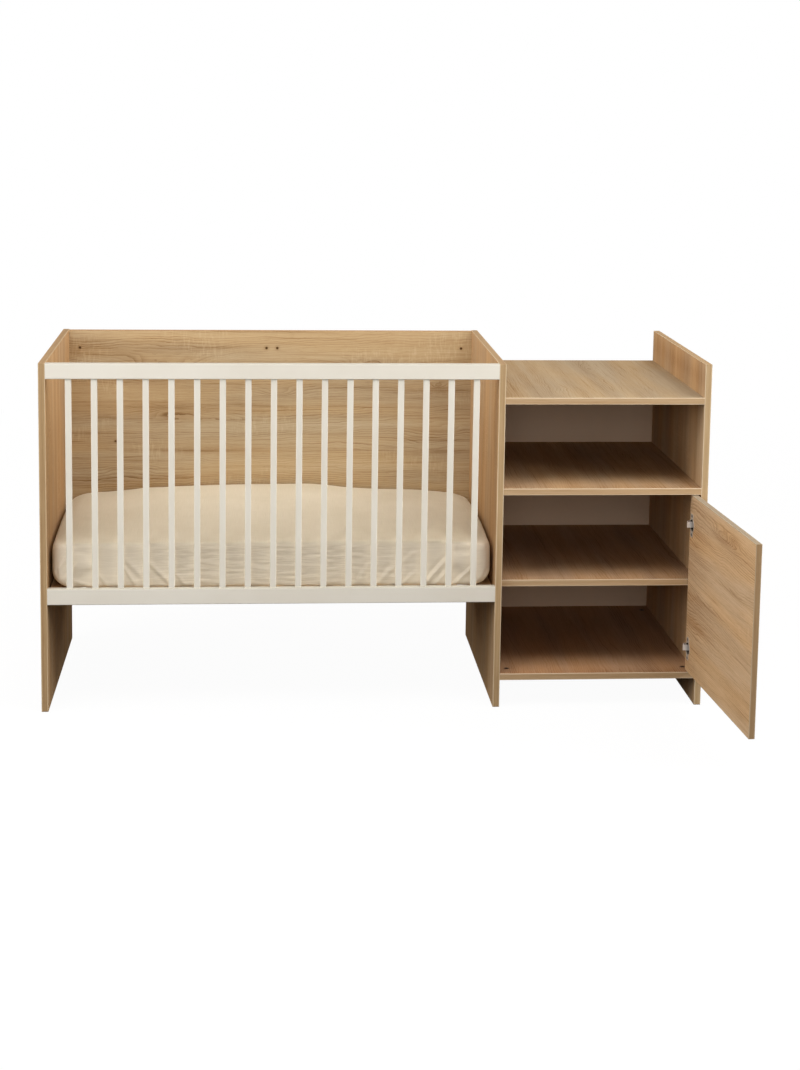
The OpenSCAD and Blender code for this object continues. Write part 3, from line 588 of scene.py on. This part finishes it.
# Height of the top's front and rear edges above the slats, by distance from the left end
FRONT_EDGE = [
    (0.000, 0.119), (0.020, 0.123), (0.050, 0.130), (0.090, 0.132), (0.300, 0.131),
    (0.960, 0.135), (1.035, 0.135), (1.105, 0.130), (1.165, 0.123), (1.190, 0.118),
]
REAR_EDGE = [
    (0.000, 0.116), (0.012, 0.124), (0.088, 0.134), (0.144, 0.138), (0.220, 0.147),
    (0.297, 0.151), (0.450, 0.157), (0.596, 0.158), (0.700, 0.159), (0.743, 0.157),
    (0.815, 0.148), (0.869, 0.144), (1.044, 0.138), (1.126, 0.130), (1.190, 0.116),
]

# Radius of the corners seen from above, by height above the slats
CORNER_ROUND = [(0.0, 0.048), (0.04, 0.038), (0.085, 0.038), (0.115, 0.045), (0.135, 0.052)]

# Folds on the front face: two ends as distance from the left end and height above the
# slats, then width and height of the ridge
FRONT_FOLDS = [
    ((0.052, 0.098), (0.024, 0.060), 0.0045, 0.0024),
    ((0.026, 0.066), (0.024, 0.024), 0.0040, 0.0026),
    ((0.066, 0.070), (0.036, 0.026), 0.0040, 0.0022),
    ((0.010, 0.050), (0.022, 0.016), 0.0040, 0.0018),
    ((0.125, 0.046), (0.155, 0.008), 0.0050, 0.0018),
    ((0.198, 0.058), (0.232, 0.006), 0.0045, 0.0030),
    ((0.202, 0.082), (0.244, 0.036), 0.0080, 0.0022),
    ((0.262, 0.076), (0.318, 0.018), 0.0065, 0.0032),
    ((0.336, 0.042), (0.360, 0.010), 0.0050, 0.0018),
    ((0.060, 0.026), (0.116, 0.006), 0.0045, 0.0018),
    ((0.852, 0.064), (0.824, 0.018), 0.0060, 0.0016),
    ((0.924, 0.062), (0.876, 0.012), 0.0070, 0.0026),
    ((0.974, 0.096), (0.952, 0.074), 0.0070, 0.0014),
    ((0.977, 0.042), (0.948, 0.012), 0.0050, 0.0020),
    ((1.066, 0.080), (1.006, 0.012), 0.0060, 0.0036),
    ((1.067, 0.046), (1.034, 0.010), 0.0045, 0.0022),
    ((1.134, 0.056), (1.084, 0.008), 0.0050, 0.0028),
    ((1.186, 0.048), (1.164, 0.010), 0.0045, 0.0026),
]


def smooth_between(pairs, where, blur=0.02):
    """Reads a table of pairs at some places, rounded over a short distance."""
    xs, ys = zip(*pairs)
    return sum(np.interp(where + blur * k, xs, ys) for k in (-1, -0.5, 0, 0.5, 1)) / 5


def soft_step(value, low, high):
    share = np.clip((value - low) / (high - low), 0, 1)
    return share * share * (3 - 2 * share)


def top_height(x, y):
    """Height of the bed's top above the slats."""
    run = x - BED_LOW.x
    back = np.clip((y - BED_LOW.y) / (BED_HIGH.y - BED_LOW.y), 0, 1)
    end = np.clip(abs(x - BED_MIDDLE_X) / (BED_HIGH.x - BED_MIDDLE_X), 0, 1) ** 3
    front, rear = smooth_between(FRONT_EDGE, run), smooth_between(REAR_EDGE, run)
    hump = MIDDLE_HUMP + (END_HUMP - MIDDLE_HUMP) * end
    return front + (rear - front) * np.sin(back * math.pi / 2) + hump * np.sin(back * math.pi)


def bed_outline(radius, margin, along=64, over=30, corner=8):
    """Points round the bed seen from above, and the direction straight out at each."""
    centre = np.array([BED_MIDDLE_X, (BED_LOW.y + BED_HIGH.y) / 2])
    half = np.array([BED_HIGH.x - BED_LOW.x, BED_HIGH.y - BED_LOW.y]) / 2 - margin - radius
    corners = np.array([(-1, -1), (1, -1), (1, 1), (-1, 1)])
    points, out = [], []
    for quarter in range(4):
        turns = math.pi * (1 + quarter / 2 + np.arange(corner + 1) / corner / 2)
        rays = np.column_stack([np.cos(turns), np.sin(turns)])
        points.append(centre + half * corners[quarter] + radius * rays)
        out.append(rays)
        steps = along if quarter % 2 == 0 else over
        after = centre + half * corners[(quarter + 1) % 4] + radius * rays[-1]
        shares = np.arange(1, steps)[:, None] / steps
        points.append(points[-1][-1] + (after - points[-1][-1]) * shares)
        out.append(np.repeat(rays[-1:], steps - 1, axis=0))
    return np.vstack(points), np.vstack(out)


def bed_rings(margin, low):
    """The bed's closed skin, a margin inside its full size and low above the slats.

    The lower edge rolls in little along the front and far at the ends, where the sheet's
    elastic pulls it under. The upper edge is crisp at the front and softer at the ends.
    """
    flat, out = bed_outline(PLAIN_CORNER, margin)
    middle = soft_step(0.60 - abs(flat[:, 0] - BED_MIDDLE_X), 0.0, 0.09)
    tuck = 0.038 - 0.028 * middle * abs(out[:, 1])
    soft = 0.018 - 0.013 * out[:, 1] ** 2
    crown = top_height(flat[:, 0], flat[:, 1]) - EDGE_HEIGHT
    top = EDGE_HEIGHT - margin + crown
    rings = []

    def ring(inset, height, shrink=1.0):
        radius = np.interp(height.mean(), *zip(*CORNER_ROUND))
        points, out = bed_outline(radius, margin)
        points = points - out * inset[:, None]
        points = points.mean(0) + (points - points.mean(0)) * shrink
        rings.append(np.column_stack([points, BED_LOW.z + height]))

    for shrink in (0.05, 0.4, 0.75):
        ring(tuck, np.full(len(tuck), low), shrink)
    for turn in np.linspace(0, math.pi / 2, 7):
        ring(tuck * (1 - math.sin(turn)), low + tuck * (1 - math.cos(turn)))
    start, end = low + tuck, top - soft
    for share in np.linspace(0, 1, 7)[1:-1]:
        hollow = 0.001 * math.sin(math.pi * share)
        ring(np.full(len(tuck), hollow), start + (end - start) * share)
    for turn in np.linspace(0, math.pi / 2, 6):
        ring(soft * (1 - math.cos(turn)), top - soft * (1 - math.sin(turn)))
    for shrink in np.linspace(0.96, 0.04, 16):
        ring(soft, top, shrink)
        x, y, z = rings[-1].T
        rings[-1][:, 2] = BED_LOW.z - margin + top_height(x, y)
    return rings


def skin(rings):
    """Points and faces of a closed skin over a chain of rings."""
    size = len(rings[0])
    points = [tuple(p) for ring in rings for p in ring]
    faces = [tuple(range(size))[::-1]]
    for k in range(len(rings) - 1):
        for i in range(size):
            j = (i + 1) % size
            faces.append((k * size + i, k * size + j, (k + 1) * size + j, (k + 1) * size + i))
    faces.append(tuple(range(len(points) - size, len(points))))
    return points, faces


def coordinates(mesh):
    points = np.empty(len(mesh.vertices) * 3)
    mesh.vertices.foreach_get("co", points)
    return points.reshape(-1, 3)


def normals(mesh):
    out = np.empty(len(mesh.vertices) * 3)
    mesh.vertices.foreach_get("normal", out)
    return out.reshape(-1, 3)


def apply_modifiers(made):
    """Leaves the shape that the modifiers give as the piece's own mesh."""
    view = bpy.context.evaluated_depsgraph_get()
    mesh = bpy.data.meshes.new_from_object(made.evaluated_get(view))
    made.modifiers.clear()
    made.data = mesh


# Frames that the cloth is simulated for
PUFF_FRAMES = 20


def puff(made, cap):
    """Inflates a cloth skin for a moment, and keeps every point within a cap of its start."""
    start = coordinates(made.data)
    cloth = made.modifiers.new("cloth", "CLOTH")
    cloth.settings.quality = 4
    cloth.settings.use_pressure = True
    cloth.settings.uniform_pressure_force = 4.0
    cloth.settings.shrink_min = -0.012
    cloth.settings.tension_stiffness = 12
    cloth.settings.compression_stiffness = 12
    cloth.settings.bending_stiffness = 0.15
    cloth.settings.effector_weights.gravity = 0.0
    scene = bpy.context.scene
    cloth.point_cache.frame_start, cloth.point_cache.frame_end = 1, PUFF_FRAMES
    for step in range(1, PUFF_FRAMES + 1):
        scene.frame_set(step)
    apply_modifiers(made)
    scene.frame_set(1)
    moved = coordinates(made.data) - start
    length = np.linalg.norm(moved, axis=1, keepdims=True)
    moved *= np.minimum(1, cap / np.maximum(length, 1e-9))
    made.data.vertices.foreach_set("co", (start + moved).ravel())
    made.data.update()


# How far behind the bed's front the sheet still counts as its front face
FRONT_REACH = 0.03

# The mattress's firm edge in the sheet: how far below the top, its width and its height
FIRM_EDGE_DOWN, FIRM_EDGE_WIDTH, FIRM_EDGE_RIDGE = 0.004, 0.004, 0.0012

# The fine wrinkles on the sheet's front: how many waves they are made of, the waves' pitch
# up the front, their length and their slope, and the height of the whole
WRINKLE_WAVES = 14
WRINKLE_PITCH, WRINKLE_LENGTH, WRINKLE_SLOPE = (0.011, 0.024), (0.06, 0.15), (-0.10, 0.10)
WRINKLE_HEIGHT = 0.0008
ANY_PHASE = (0, 6.28)


def wrinkles(run, height):
    """Sum of fine and nearly level waves that come and go, mostly between -1 and 1."""
    dice = np.random.default_rng(11)
    total = np.zeros(len(run))
    for _ in range(WRINKLE_WAVES):
        pitch, length = dice.uniform(*WRINKLE_PITCH), dice.uniform(*WRINKLE_LENGTH)
        slope = dice.uniform(*WRINKLE_SLOPE)
        start, turn = dice.uniform(*ANY_PHASE), dice.uniform(*ANY_PHASE)
        wave = np.sin((height + slope * run) * 2 * math.pi / pitch + start)
        total += wave * np.clip(np.sin(run * 2 * math.pi / length + turn) + 0.2, 0, 1)
    return total / 4


def press_folds(mesh):
    """Lays the corner folds, fine wrinkles and the mattress's firm edge into the sheet."""
    points, out = coordinates(mesh), normals(mesh)
    run = points[:, 0] - BED_LOW.x
    height = points[:, 2] - BED_LOW.z
    front = np.clip(-out[:, 1] * 1.4, 0, 1) * (points[:, 1] < BED_LOW.y + FRONT_REACH)
    lift = np.zeros(len(points))
    for (x0, z0), (x1, z1), width, ridge in FRONT_FOLDS:
        length = math.hypot(x1 - x0, z1 - z0)
        ux, uz = (x1 - x0) / length, (z1 - z0) / length
        share = ((run - x0) * ux + (height - z0) * uz) / length
        off = (run - x0) * -uz + (height - z0) * ux
        ends = np.clip(share * 3 + 0.6, 0, 1) * np.clip((1 - share) * 3 + 0.6, 0, 1)
        crest = np.exp(-((off / width) ** 2))
        hollow = np.exp(-(((off + 1.5 * width) / width) ** 2))
        lift += ridge * (crest - 0.5 * hollow) * ends * front
    middle = 1 - 0.75 * soft_step(abs(points[:, 0] - BED_MIDDLE_X), 0.24, 0.46)
    below = soft_step(EDGE_HEIGHT - height, -0.004, 0.020)
    lift += WRINKLE_HEIGHT * wrinkles(run, height) * front * middle * below
    around = np.clip(np.hypot(out[:, 0], out[:, 1]) * 1.2, 0, 1)
    edge = top_height(points[:, 0], points[:, 1]) - FIRM_EDGE_DOWN
    firm = np.exp(-(((height - edge) / FIRM_EDGE_WIDTH) ** 2))
    lift += FIRM_EDGE_RIDGE * firm * around
    points += out * lift[:, None]
    points[:, 2] = np.maximum(points[:, 2], BED_LOW.z)
    mesh.vertices.foreach_set("co", points.ravel())
    mesh.update()


def fill_space(mesh):
    """Stretches the sheet to the length and depth that the crib leaves it."""
    points = coordinates(mesh)
    for axis in (0, 1):
        low, high = points[:, axis].min(), points[:, axis].max()
        share = (points[:, axis] - low) / (high - low)
        space = BED_HIGH[axis] - BED_LOW[axis] - 2 * SLACK
        points[:, axis] = BED_LOW[axis] + SLACK + share * space
    mesh.vertices.foreach_set("co", points.ravel())
    mesh.update()


def make_sheet(material):
    """The fitted sheet: puffed over the mattress, open below, gathered on elastic."""
    points, faces = skin(bed_rings(SHEET_MARGIN, SHEET_LIFT))
    sheet = piece("fitted_sheet_cloth", points, faces, material, "bed")
    remesh = sheet.modifiers.new("even", "REMESH")
    remesh.mode = "VOXEL"
    remesh.voxel_size = SHEET_VOXEL
    apply_modifiers(sheet)
    puff(sheet, SWELL)
    sheet.modifiers.new("fine", "SUBSURF").levels = 1
    apply_modifiers(sheet)
    fill_space(sheet.data)
    press_folds(sheet.data)
    opened = bmesh.new()
    opened.from_mesh(sheet.data)
    inside = [
        face for face in opened.faces
        if face.normal.z < -0.5
        and BED_LOW.x + HEM < face.calc_center_median().x < BED_HIGH.x - HEM
        and BED_LOW.y + HEM < face.calc_center_median().y < BED_HIGH.y - HEM
    ]
    bmesh.ops.delete(opened, geom=inside, context="FACES")
    opened.to_mesh(sheet.data)
    opened.free()
    for face in sheet.data.polygons:
        face.use_smooth = True
    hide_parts("fitted_sheet")
    return sheet


def make_mattress(material):
    """The foam mattress inside the sheet, with a corded edge round its underside."""
    points, faces = skin(bed_rings(CORE_MARGIN, CORE_LIFT))
    core = piece("mattress_core", points, faces, material, "bed")
    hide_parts("mattress")
    ring, _ = bed_outline(PLAIN_CORNER, PIPING_MARGIN, along=90, over=44, corner=10)
    line = [(x, y, BED_LOW.z + PIPING_HEIGHT) for x, y in ring]
    points, faces = cord(line, PIPING_RADIUS)
    piece("mattress_piping", points, faces, material, "bed")


# ---- Cross-head screws ----

# Sides of a screw's round parts, height of its head's rim, and how far one screw is turned
# on from the last
SCREW_SIDES = 24
HEAD_RIM = 0.0002
TURN_APART = 0.7

# The cross recess as shares of the head's radius: reach, half width and depth of its arms,
# and how much it narrows to its floor
CROSS_ARM, CROSS_BAR, CROSS_DEPTH, CROSS_TAPER = 0.58, 0.15, 0.42, 0.62


def loose_parts(node):
    """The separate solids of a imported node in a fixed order, each as an array of points."""
    shape = bmesh.new()
    shape.from_mesh(nodes[node].data)
    bmesh.ops.remove_doubles(shape, verts=shape.verts, dist=1e-6)
    seen, parts = set(), []
    for first in shape.verts:
        if first in seen:
            continue
        seen.add(first)
        queue, found = [first], []
        while queue:
            vert = queue.pop()
            found.append(tuple(vert.co))
            for edge in vert.link_edges:
                other = edge.other_vert(vert)
                if other not in seen:
                    seen.add(other)
                    queue.append(other)
        parts.append(np.array(found))
    shape.free()
    return parts


def screw_place(points):
    """Head centre, direction out of the head, length, head radius of a plain screw solid."""
    middle = points.mean(0)
    axis = np.linalg.svd(points - middle, full_matrices=False)[2][0]
    place = (points - middle) @ axis
    reach = np.linalg.norm(points - middle - np.outer(place, axis), axis=1)
    if reach[place < 0].max() > reach[place > 0].max():
        axis, place = -axis, -place
    ends = place.min(), place.max()
    centre = points[place > ends[1] - 1e-5].mean(0)
    return Vector(centre), Vector(axis), ends[1] - ends[0], reach.max()


def screw_shape(length, radius):
    """Points and faces of a countersunk screw with a cross recess, head at the origin."""
    shape = bmesh.new()

    def circle(reach, depth):
        turns = [2 * math.pi * k / SCREW_SIDES for k in range(SCREW_SIDES)]
        places = [(reach * math.cos(turn), reach * math.sin(turn), -depth) for turn in turns]
        return [shape.verts.new(place) for place in places]

    def sides_of(loop):
        return list(zip(loop, loop[1:] + loop[:1]))

    rim = circle(radius, 0)
    arm, bar, deep = radius * CROSS_ARM, radius * CROSS_BAR, radius * CROSS_DEPTH
    corners = [(arm, -bar, 0), (arm, bar, 0), (bar * 1.3, bar * 1.3, 0)]
    outline = []
    for quarter in range(4):
        turn = Matrix.Rotation(quarter * math.pi / 2, 3, "Z")
        outline += [turn @ Vector(corner) for corner in corners]
    mouth = [shape.verts.new(p) for p in outline]
    floor = [shape.verts.new((p.x * CROSS_TAPER, p.y * CROSS_TAPER, -deep)) for p in outline]
    edges = [shape.edges.new(side) for loop in (rim, mouth) for side in sides_of(loop)]
    bmesh.ops.triangle_fill(shape, use_beauty=True, edges=edges)
    for (a, b), (c, d) in zip(sides_of(mouth), sides_of(floor)):
        shape.faces.new((a, c, d, b))
    shape.faces.new(floor)
    shank, point = radius * 0.5, radius * 0.08
    stations = [(radius, HEAD_RIM), (shank, shank), (shank, length - radius), (point, length)]
    above = rim
    for reach, depth in stations:
        ring = circle(reach, depth)
        for (a, b), (c, d) in zip(sides_of(above), sides_of(ring)):
            shape.faces.new((a, b, d, c))
        above = ring
    shape.faces.new(above)
    bmesh.ops.recalc_face_normals(shape, faces=shape.faces)
    shape.verts.index_update()
    points = [vert.co.copy() for vert in shape.verts]
    faces = [tuple(vert.index for vert in face.verts) for face in shape.faces]
    shape.free()
    return points, faces


def make_screws(node, material, body):
    """Replaces a node's plain screws by ones with a cross recess."""
    points, faces = [], []
    for number, part in enumerate(loose_parts(node)):
        centre, out, length, radius = screw_place(part)
        turn = out.to_track_quat("Z", "Y").to_matrix()
        turn = turn @ Matrix.Rotation(TURN_APART * number, 3, "Z")
        first = len(points)
        own_points, own_faces = screw_shape(length, radius)
        points += [centre + turn @ p for p in own_points]
        faces += [tuple(first + k for k in face) for face in own_faces]
    made = piece(node + "_cross_head", points, faces, material, body, smooth=False)
    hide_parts(node)


# ---- Floor and room ----

# Half the floor's width, how pale it is to the object and to the camera, the share of its
# white that takes a shadow, and the distances from the origin over which this fades out
FLOOR_HALF = 12.0
FLOOR_BOUNCE, FLOOR_PALE = 0.06, 0.90
SHADOW_SHARE = 0.04
SHADOW_FADES = (1.4, 4.5)

# The warm light from all round
ROOM_LIGHT, ROOM_COLOUR = 0.10, (1.0, 0.55, 0.38, 1.0)


def grey(level):
    """A linear colour without hue."""
    return (level, level, level, 1.0)


def make_floor():
    """A white floor with a faint soft shadow, which throws little light back up."""
    finish = Finish("studio_floor")
    dim = finish.node("ShaderNodeBsdfDiffuse", sockets={"Color": grey(FLOOR_BOUNCE)})
    pale = finish.node("ShaderNodeBsdfDiffuse", sockets={"Color": grey(FLOOR_PALE)})
    white = finish.node("ShaderNodeEmission", sockets={"Color": grey(1.0), "Strength": 1.0})
    x, y, _ = finish.place()
    away = (x * x + y * y) ** 0.5
    plain = away.rise(*SHADOW_FADES) * SHADOW_SHARE + (1 - SHADOW_SHARE)
    shown = finish.node("ShaderNodeMixShader", sockets={0: plain, 1: pale, 2: white})
    mixed = finish.node("ShaderNodeMixShader", sockets={0: finish.seen(), 1: dim, 2: shown})
    finish.node("ShaderNodeOutputMaterial", sockets={"Surface": mixed})
    signs = [(-1, -1), (1, -1), (1, 1), (-1, 1)]
    corners = [(right * FLOOR_HALF, back * FLOOR_HALF, 0) for right, back in signs]
    mesh = bpy.data.meshes.new("studio_floor")
    mesh.from_pydata(corners, [], [(0, 1, 2, 3)])
    mesh.materials.append(finish.material)
    floor = bpy.data.objects.new("studio_floor", mesh)
    bpy.context.scene.collection.objects.link(floor)


def make_room():
    """White behind the object, and a little warm light from all round on it."""
    world = bpy.data.worlds.new("studio_room")
    bpy.context.scene.world = world
    finish = Finish("studio_room", world)
    glow = {"Color": ROOM_COLOUR, "Strength": ROOM_LIGHT}
    dim = finish.node("ShaderNodeBackground", sockets=glow)
    white = finish.node("ShaderNodeBackground", sockets={"Color": grey(1.0), "Strength": 1.0})
    mixed = finish.node("ShaderNodeMixShader", sockets={0: finish.seen(), 1: dim, 2: white})
    finish.node("ShaderNodeOutputWorld", sockets={"Surface": mixed})


# ---- The scene ----

bpy.context.scene.view_settings.view_transform = "Standard"
photo_camera()
for lamp in SOFTBOXES:
    softbox(*lamp)
make_room()
make_floor()

# Dark spots on the crib's back: a knot in the print, and painted shade in and round the four
# spare fixing holes
HOLES_X, HOLES_Z, HOLE_RADIUS = (-1.177, -0.625, -0.593, -0.041), 0.8935, 0.0036
BACK_SPOTS = [(-1.074, 0.611, 0.003)] + [(x, HOLES_Z, HOLE_RADIUS) for x in HOLES_X]

# Figures of the print, as oak_print takes them. The figures without rings are broad patches:
# on the shelves, the door and the side panel they are painted shade and painted light, and
# on the crib's back one is a broad paler patch over the middle
BACK_FIGURES = [
    (-0.930, 0.838, 0.200, 0.044, 10.0, 0.05), (-0.310, 0.840, 0.160, 0.040, 8.0, 0.12),
    (-0.589, 0.757, 0.090, 0.028, 4.5, 0.03), (-0.109, 0.777, 0.045, 0.018, 4.0, 0.14),
    (-0.900, 0.700, 0.140, 0.026, -4.0, 0.06), (-0.420, 0.640, 0.110, 0.024, 3.5, 0.04),
    (-0.820, 0.582, 0.200, 0.008, 1.5, 0.22), (-0.089, 0.580, 0.100, 0.009, 0.8, 0.18),
    (-1.050, 0.680, 0.130, 0.006, 1.0, 0.14), (-0.700, 0.676, 0.220, 0.005, 0.6, 0.12),
    (-0.430, 0.620, 0.360, 0.300, 0.0, -0.09),
]
DOOR_FIGURES = [
    (-0.600, 0.538, 0.120, 0.026, 5.5, 0.14), (-0.690, 0.552, 0.055, 0.020, -3.5, 0.12),
    (-0.680, 0.418, 0.150, 0.009, 1.2, 0.17), (-0.500, 0.322, 0.190, 0.014, 1.4, 0.12),
    (-0.420, 0.243, 0.130, 0.011, 0.8, 0.10), (-0.770, 0.133, 0.090, 0.012, 1.0, 0.12),
    # Painted shade over the door's hinge side
    (-0.330, 0.340, 0.180, 0.600, 0.0, 0.13),
]
TOP_FIGURES = [(0.150, 0.315, 0.140, 0.036, 4.5, 0.03), (-0.060, 0.190, 0.120, 0.020, 2.0, 0.0)]
# Shelves: painted shade over the front strip, and painted light behind it
SHELF_FIGURES = [(-0.325, 0.270, 0.050, 4.0, 0.0, 0.14), (-0.080, 0.270, 0.120, 4.0, 0.0, -0.06)]
# Side panel: painted shade near its top, and painted light in the upper compartment
SIDE_FIGURES = [(0.905, 0.0, 0.045, 1.0, 0.0, 0.15), (0.73, -0.2, 0.09, 0.25, 0.0, -0.20)]
UPRIGHT_TINT = (0.985, 0.96, 0.935)

# Boards: node, finish, axes along and across the grain, seed, tint, calm, figures, spots.
# The grain stands upright in the panels, runs along the crib's back and the door, and
# runs from front to back in the shelves.
# The darker tints of the changer top and shelves, redder lower down, are painted shade, and the
# door's paler tint is painted light.
BOARDS = [
    ("left_end_panel", "oak_left_panel", "z", "y", 1.3, UPRIGHT_TINT, 0.75),
    ("middle_panel", "oak_middle_panel", "z", "y", 5.1, UPRIGHT_TINT, 0.75),
    ("side_panel", "oak_side_panel", "z", "y", 8.7, UPRIGHT_TINT, 0.7, SIDE_FIGURES),
    ("crib_back_panel", "oak_crib_back", "x", "z", 3.4, (0.955, 0.98, 0.985), 1.0,
     BACK_FIGURES, BACK_SPOTS),
    ("changer_top", "oak_changer_top", "y", "x", 2.2, (0.85, 0.875, 0.895), 0.7,
     TOP_FIGURES),
    ("upper_shelf", "oak_upper_shelf", "y", "x", 6.6, (0.91, 0.885, 0.87), 0.65,
     SHELF_FIGURES),
    ("inner_shelf", "oak_inner_shelf", "y", "x", 9.9, (0.89, 0.85, 0.84), 0.65,
     SHELF_FIGURES),
    ("bottom_board", "oak_bottom_board", "y", "x", 12.1, (0.88, 0.81, 0.78), 0.65,
     SHELF_FIGURES),
    ("door", "oak_door", "y", "z", 4.8, (1.12, 1.11, 1.11), 0.85, DOOR_FIGURES),
]
for node, *look in BOARDS:
    wear(node, oak_laminate(*look))


def strip_edge(low, high, shade=0.0):
    """Middle and half thickness of a board, and how much darker its strip is."""
    return (low + high) / 2, (high - low) / 2, shade


panel_edges, shelf_edges = [], []
for board, shade in (("left_end_panel", 0.12), ("middle_panel", 0.03), ("side_panel", 0.0)):
    low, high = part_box(board)
    panel_edges.append(strip_edge(low.x, high.x, shade))
for board in ("changer_top", "upper_shelf", "inner_shelf", "bottom_board"):
    low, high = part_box(board)
    shelf_edges.append(strip_edge(low.z, high.z))
door_faces = [vert.co.dot(THROUGH_DOOR) for vert in nodes["door"].data.vertices]
door_edges = [strip_edge(min(door_faces), max(door_faces))]

# Strips: node, finish, axes along it, direction through the board, seed, tint, edges, top
STRIPS = [
    ("panel_edge_bands", "oak_panel_bands", "yz", (1, 0, 0), 1.0, (0.98, 1.0, 1.01),
     panel_edges),
    ("back_edge_bands", "oak_back_bands", "x", (0, 1, 0), 2.0, (0.88, 0.86, 0.84)),
    ("shelf_edge_bands", "oak_shelf_bands", "x", (0, 0, 1), 3.0, (0.99, 1.0, 1.02),
     shelf_edges),
    ("door_edge_band", "oak_door_band", "yz", THROUGH_DOOR, 4.0, (0.89, 0.88, 0.87),
     door_edges, DOOR_TOP),
]
for node, *look in STRIPS:
    wear(node, oak_band(*look))

white = white_paint()
for node in ["top_rail", "bottom_rail"] + sorted(n for n in nodes if n.startswith("bar_")):
    wear(node, white)

long_timber = bare_timber("softwood_long", "x", 0.0)
cross_timber = bare_timber("softwood_cross", "y", 5.0)
for node in ("base_front_beam", "base_centre_beam", "base_rear_beam"):
    wear(node, long_timber)
for node in ("base_left_beam", "base_right_beam", "base_slats",
             "cleat_left", "cleat_right", "dowels"):
    wear(node, cross_timber)
wear("cabinet_back", fibreboard())

# Hinge cups are plain metal this far in from the door's inner face, and darkened beyond it
# as painted shade in the cup's hollow
CUP_RIM = 0.0003

nickel = metal("nickel_plate", paint(240, 230, 220), 0.34, scratch=0.3, shine=0.5)
cup_nickel = metal(
    "nickel_cup", paint(222, 211, 194), 0.38, scratch=0.3, shine=0.5,
    dark_from=min(door_faces) + CUP_RIM
)
# The screws in the hinge cups are dark brown as painted shade in their holes
cup_zinc = metal("cup_screw_zinc_painted_shade", paint(92, 82, 72), 0.5, scratch=0.4, shine=0.6)
zinc = metal("zinc_plate", paint(196, 198, 200), 0.34, scratch=0.4)
# The cam housings' dark brown is partly dull cast zinc and partly painted shade in their holes
cast = metal("cast_zinc", paint(112, 92, 72), 0.55, scratch=0.8)
for node in ("hinge_arm_upper", "hinge_arm_lower", "hinge_plate_upper", "hinge_plate_lower"):
    wear(node, nickel)
for node in ("hinge_cup_upper", "hinge_cup_lower"):
    wear(node, cup_nickel)
for node in ("shelf_pins", "cam_bolts", "hinge_pins"):
    wear(node, zinc)
wear("cam_housings", cast)
for node in ("slat_screws", "cleat_screws", "plate_screws"):
    make_screws(node, zinc, "frame")
make_screws("cup_screws", cup_zinc, "door_leaf")

cotton = woven("sheet_cotton_weave", paint(222, 212, 190), paint(208, 197, 172), crease=2.6)
ticking = woven("mattress_ticking", paint(236, 233, 225), paint(224, 221, 212))
make_mattress(ticking)
sheet = make_sheet(cotton)
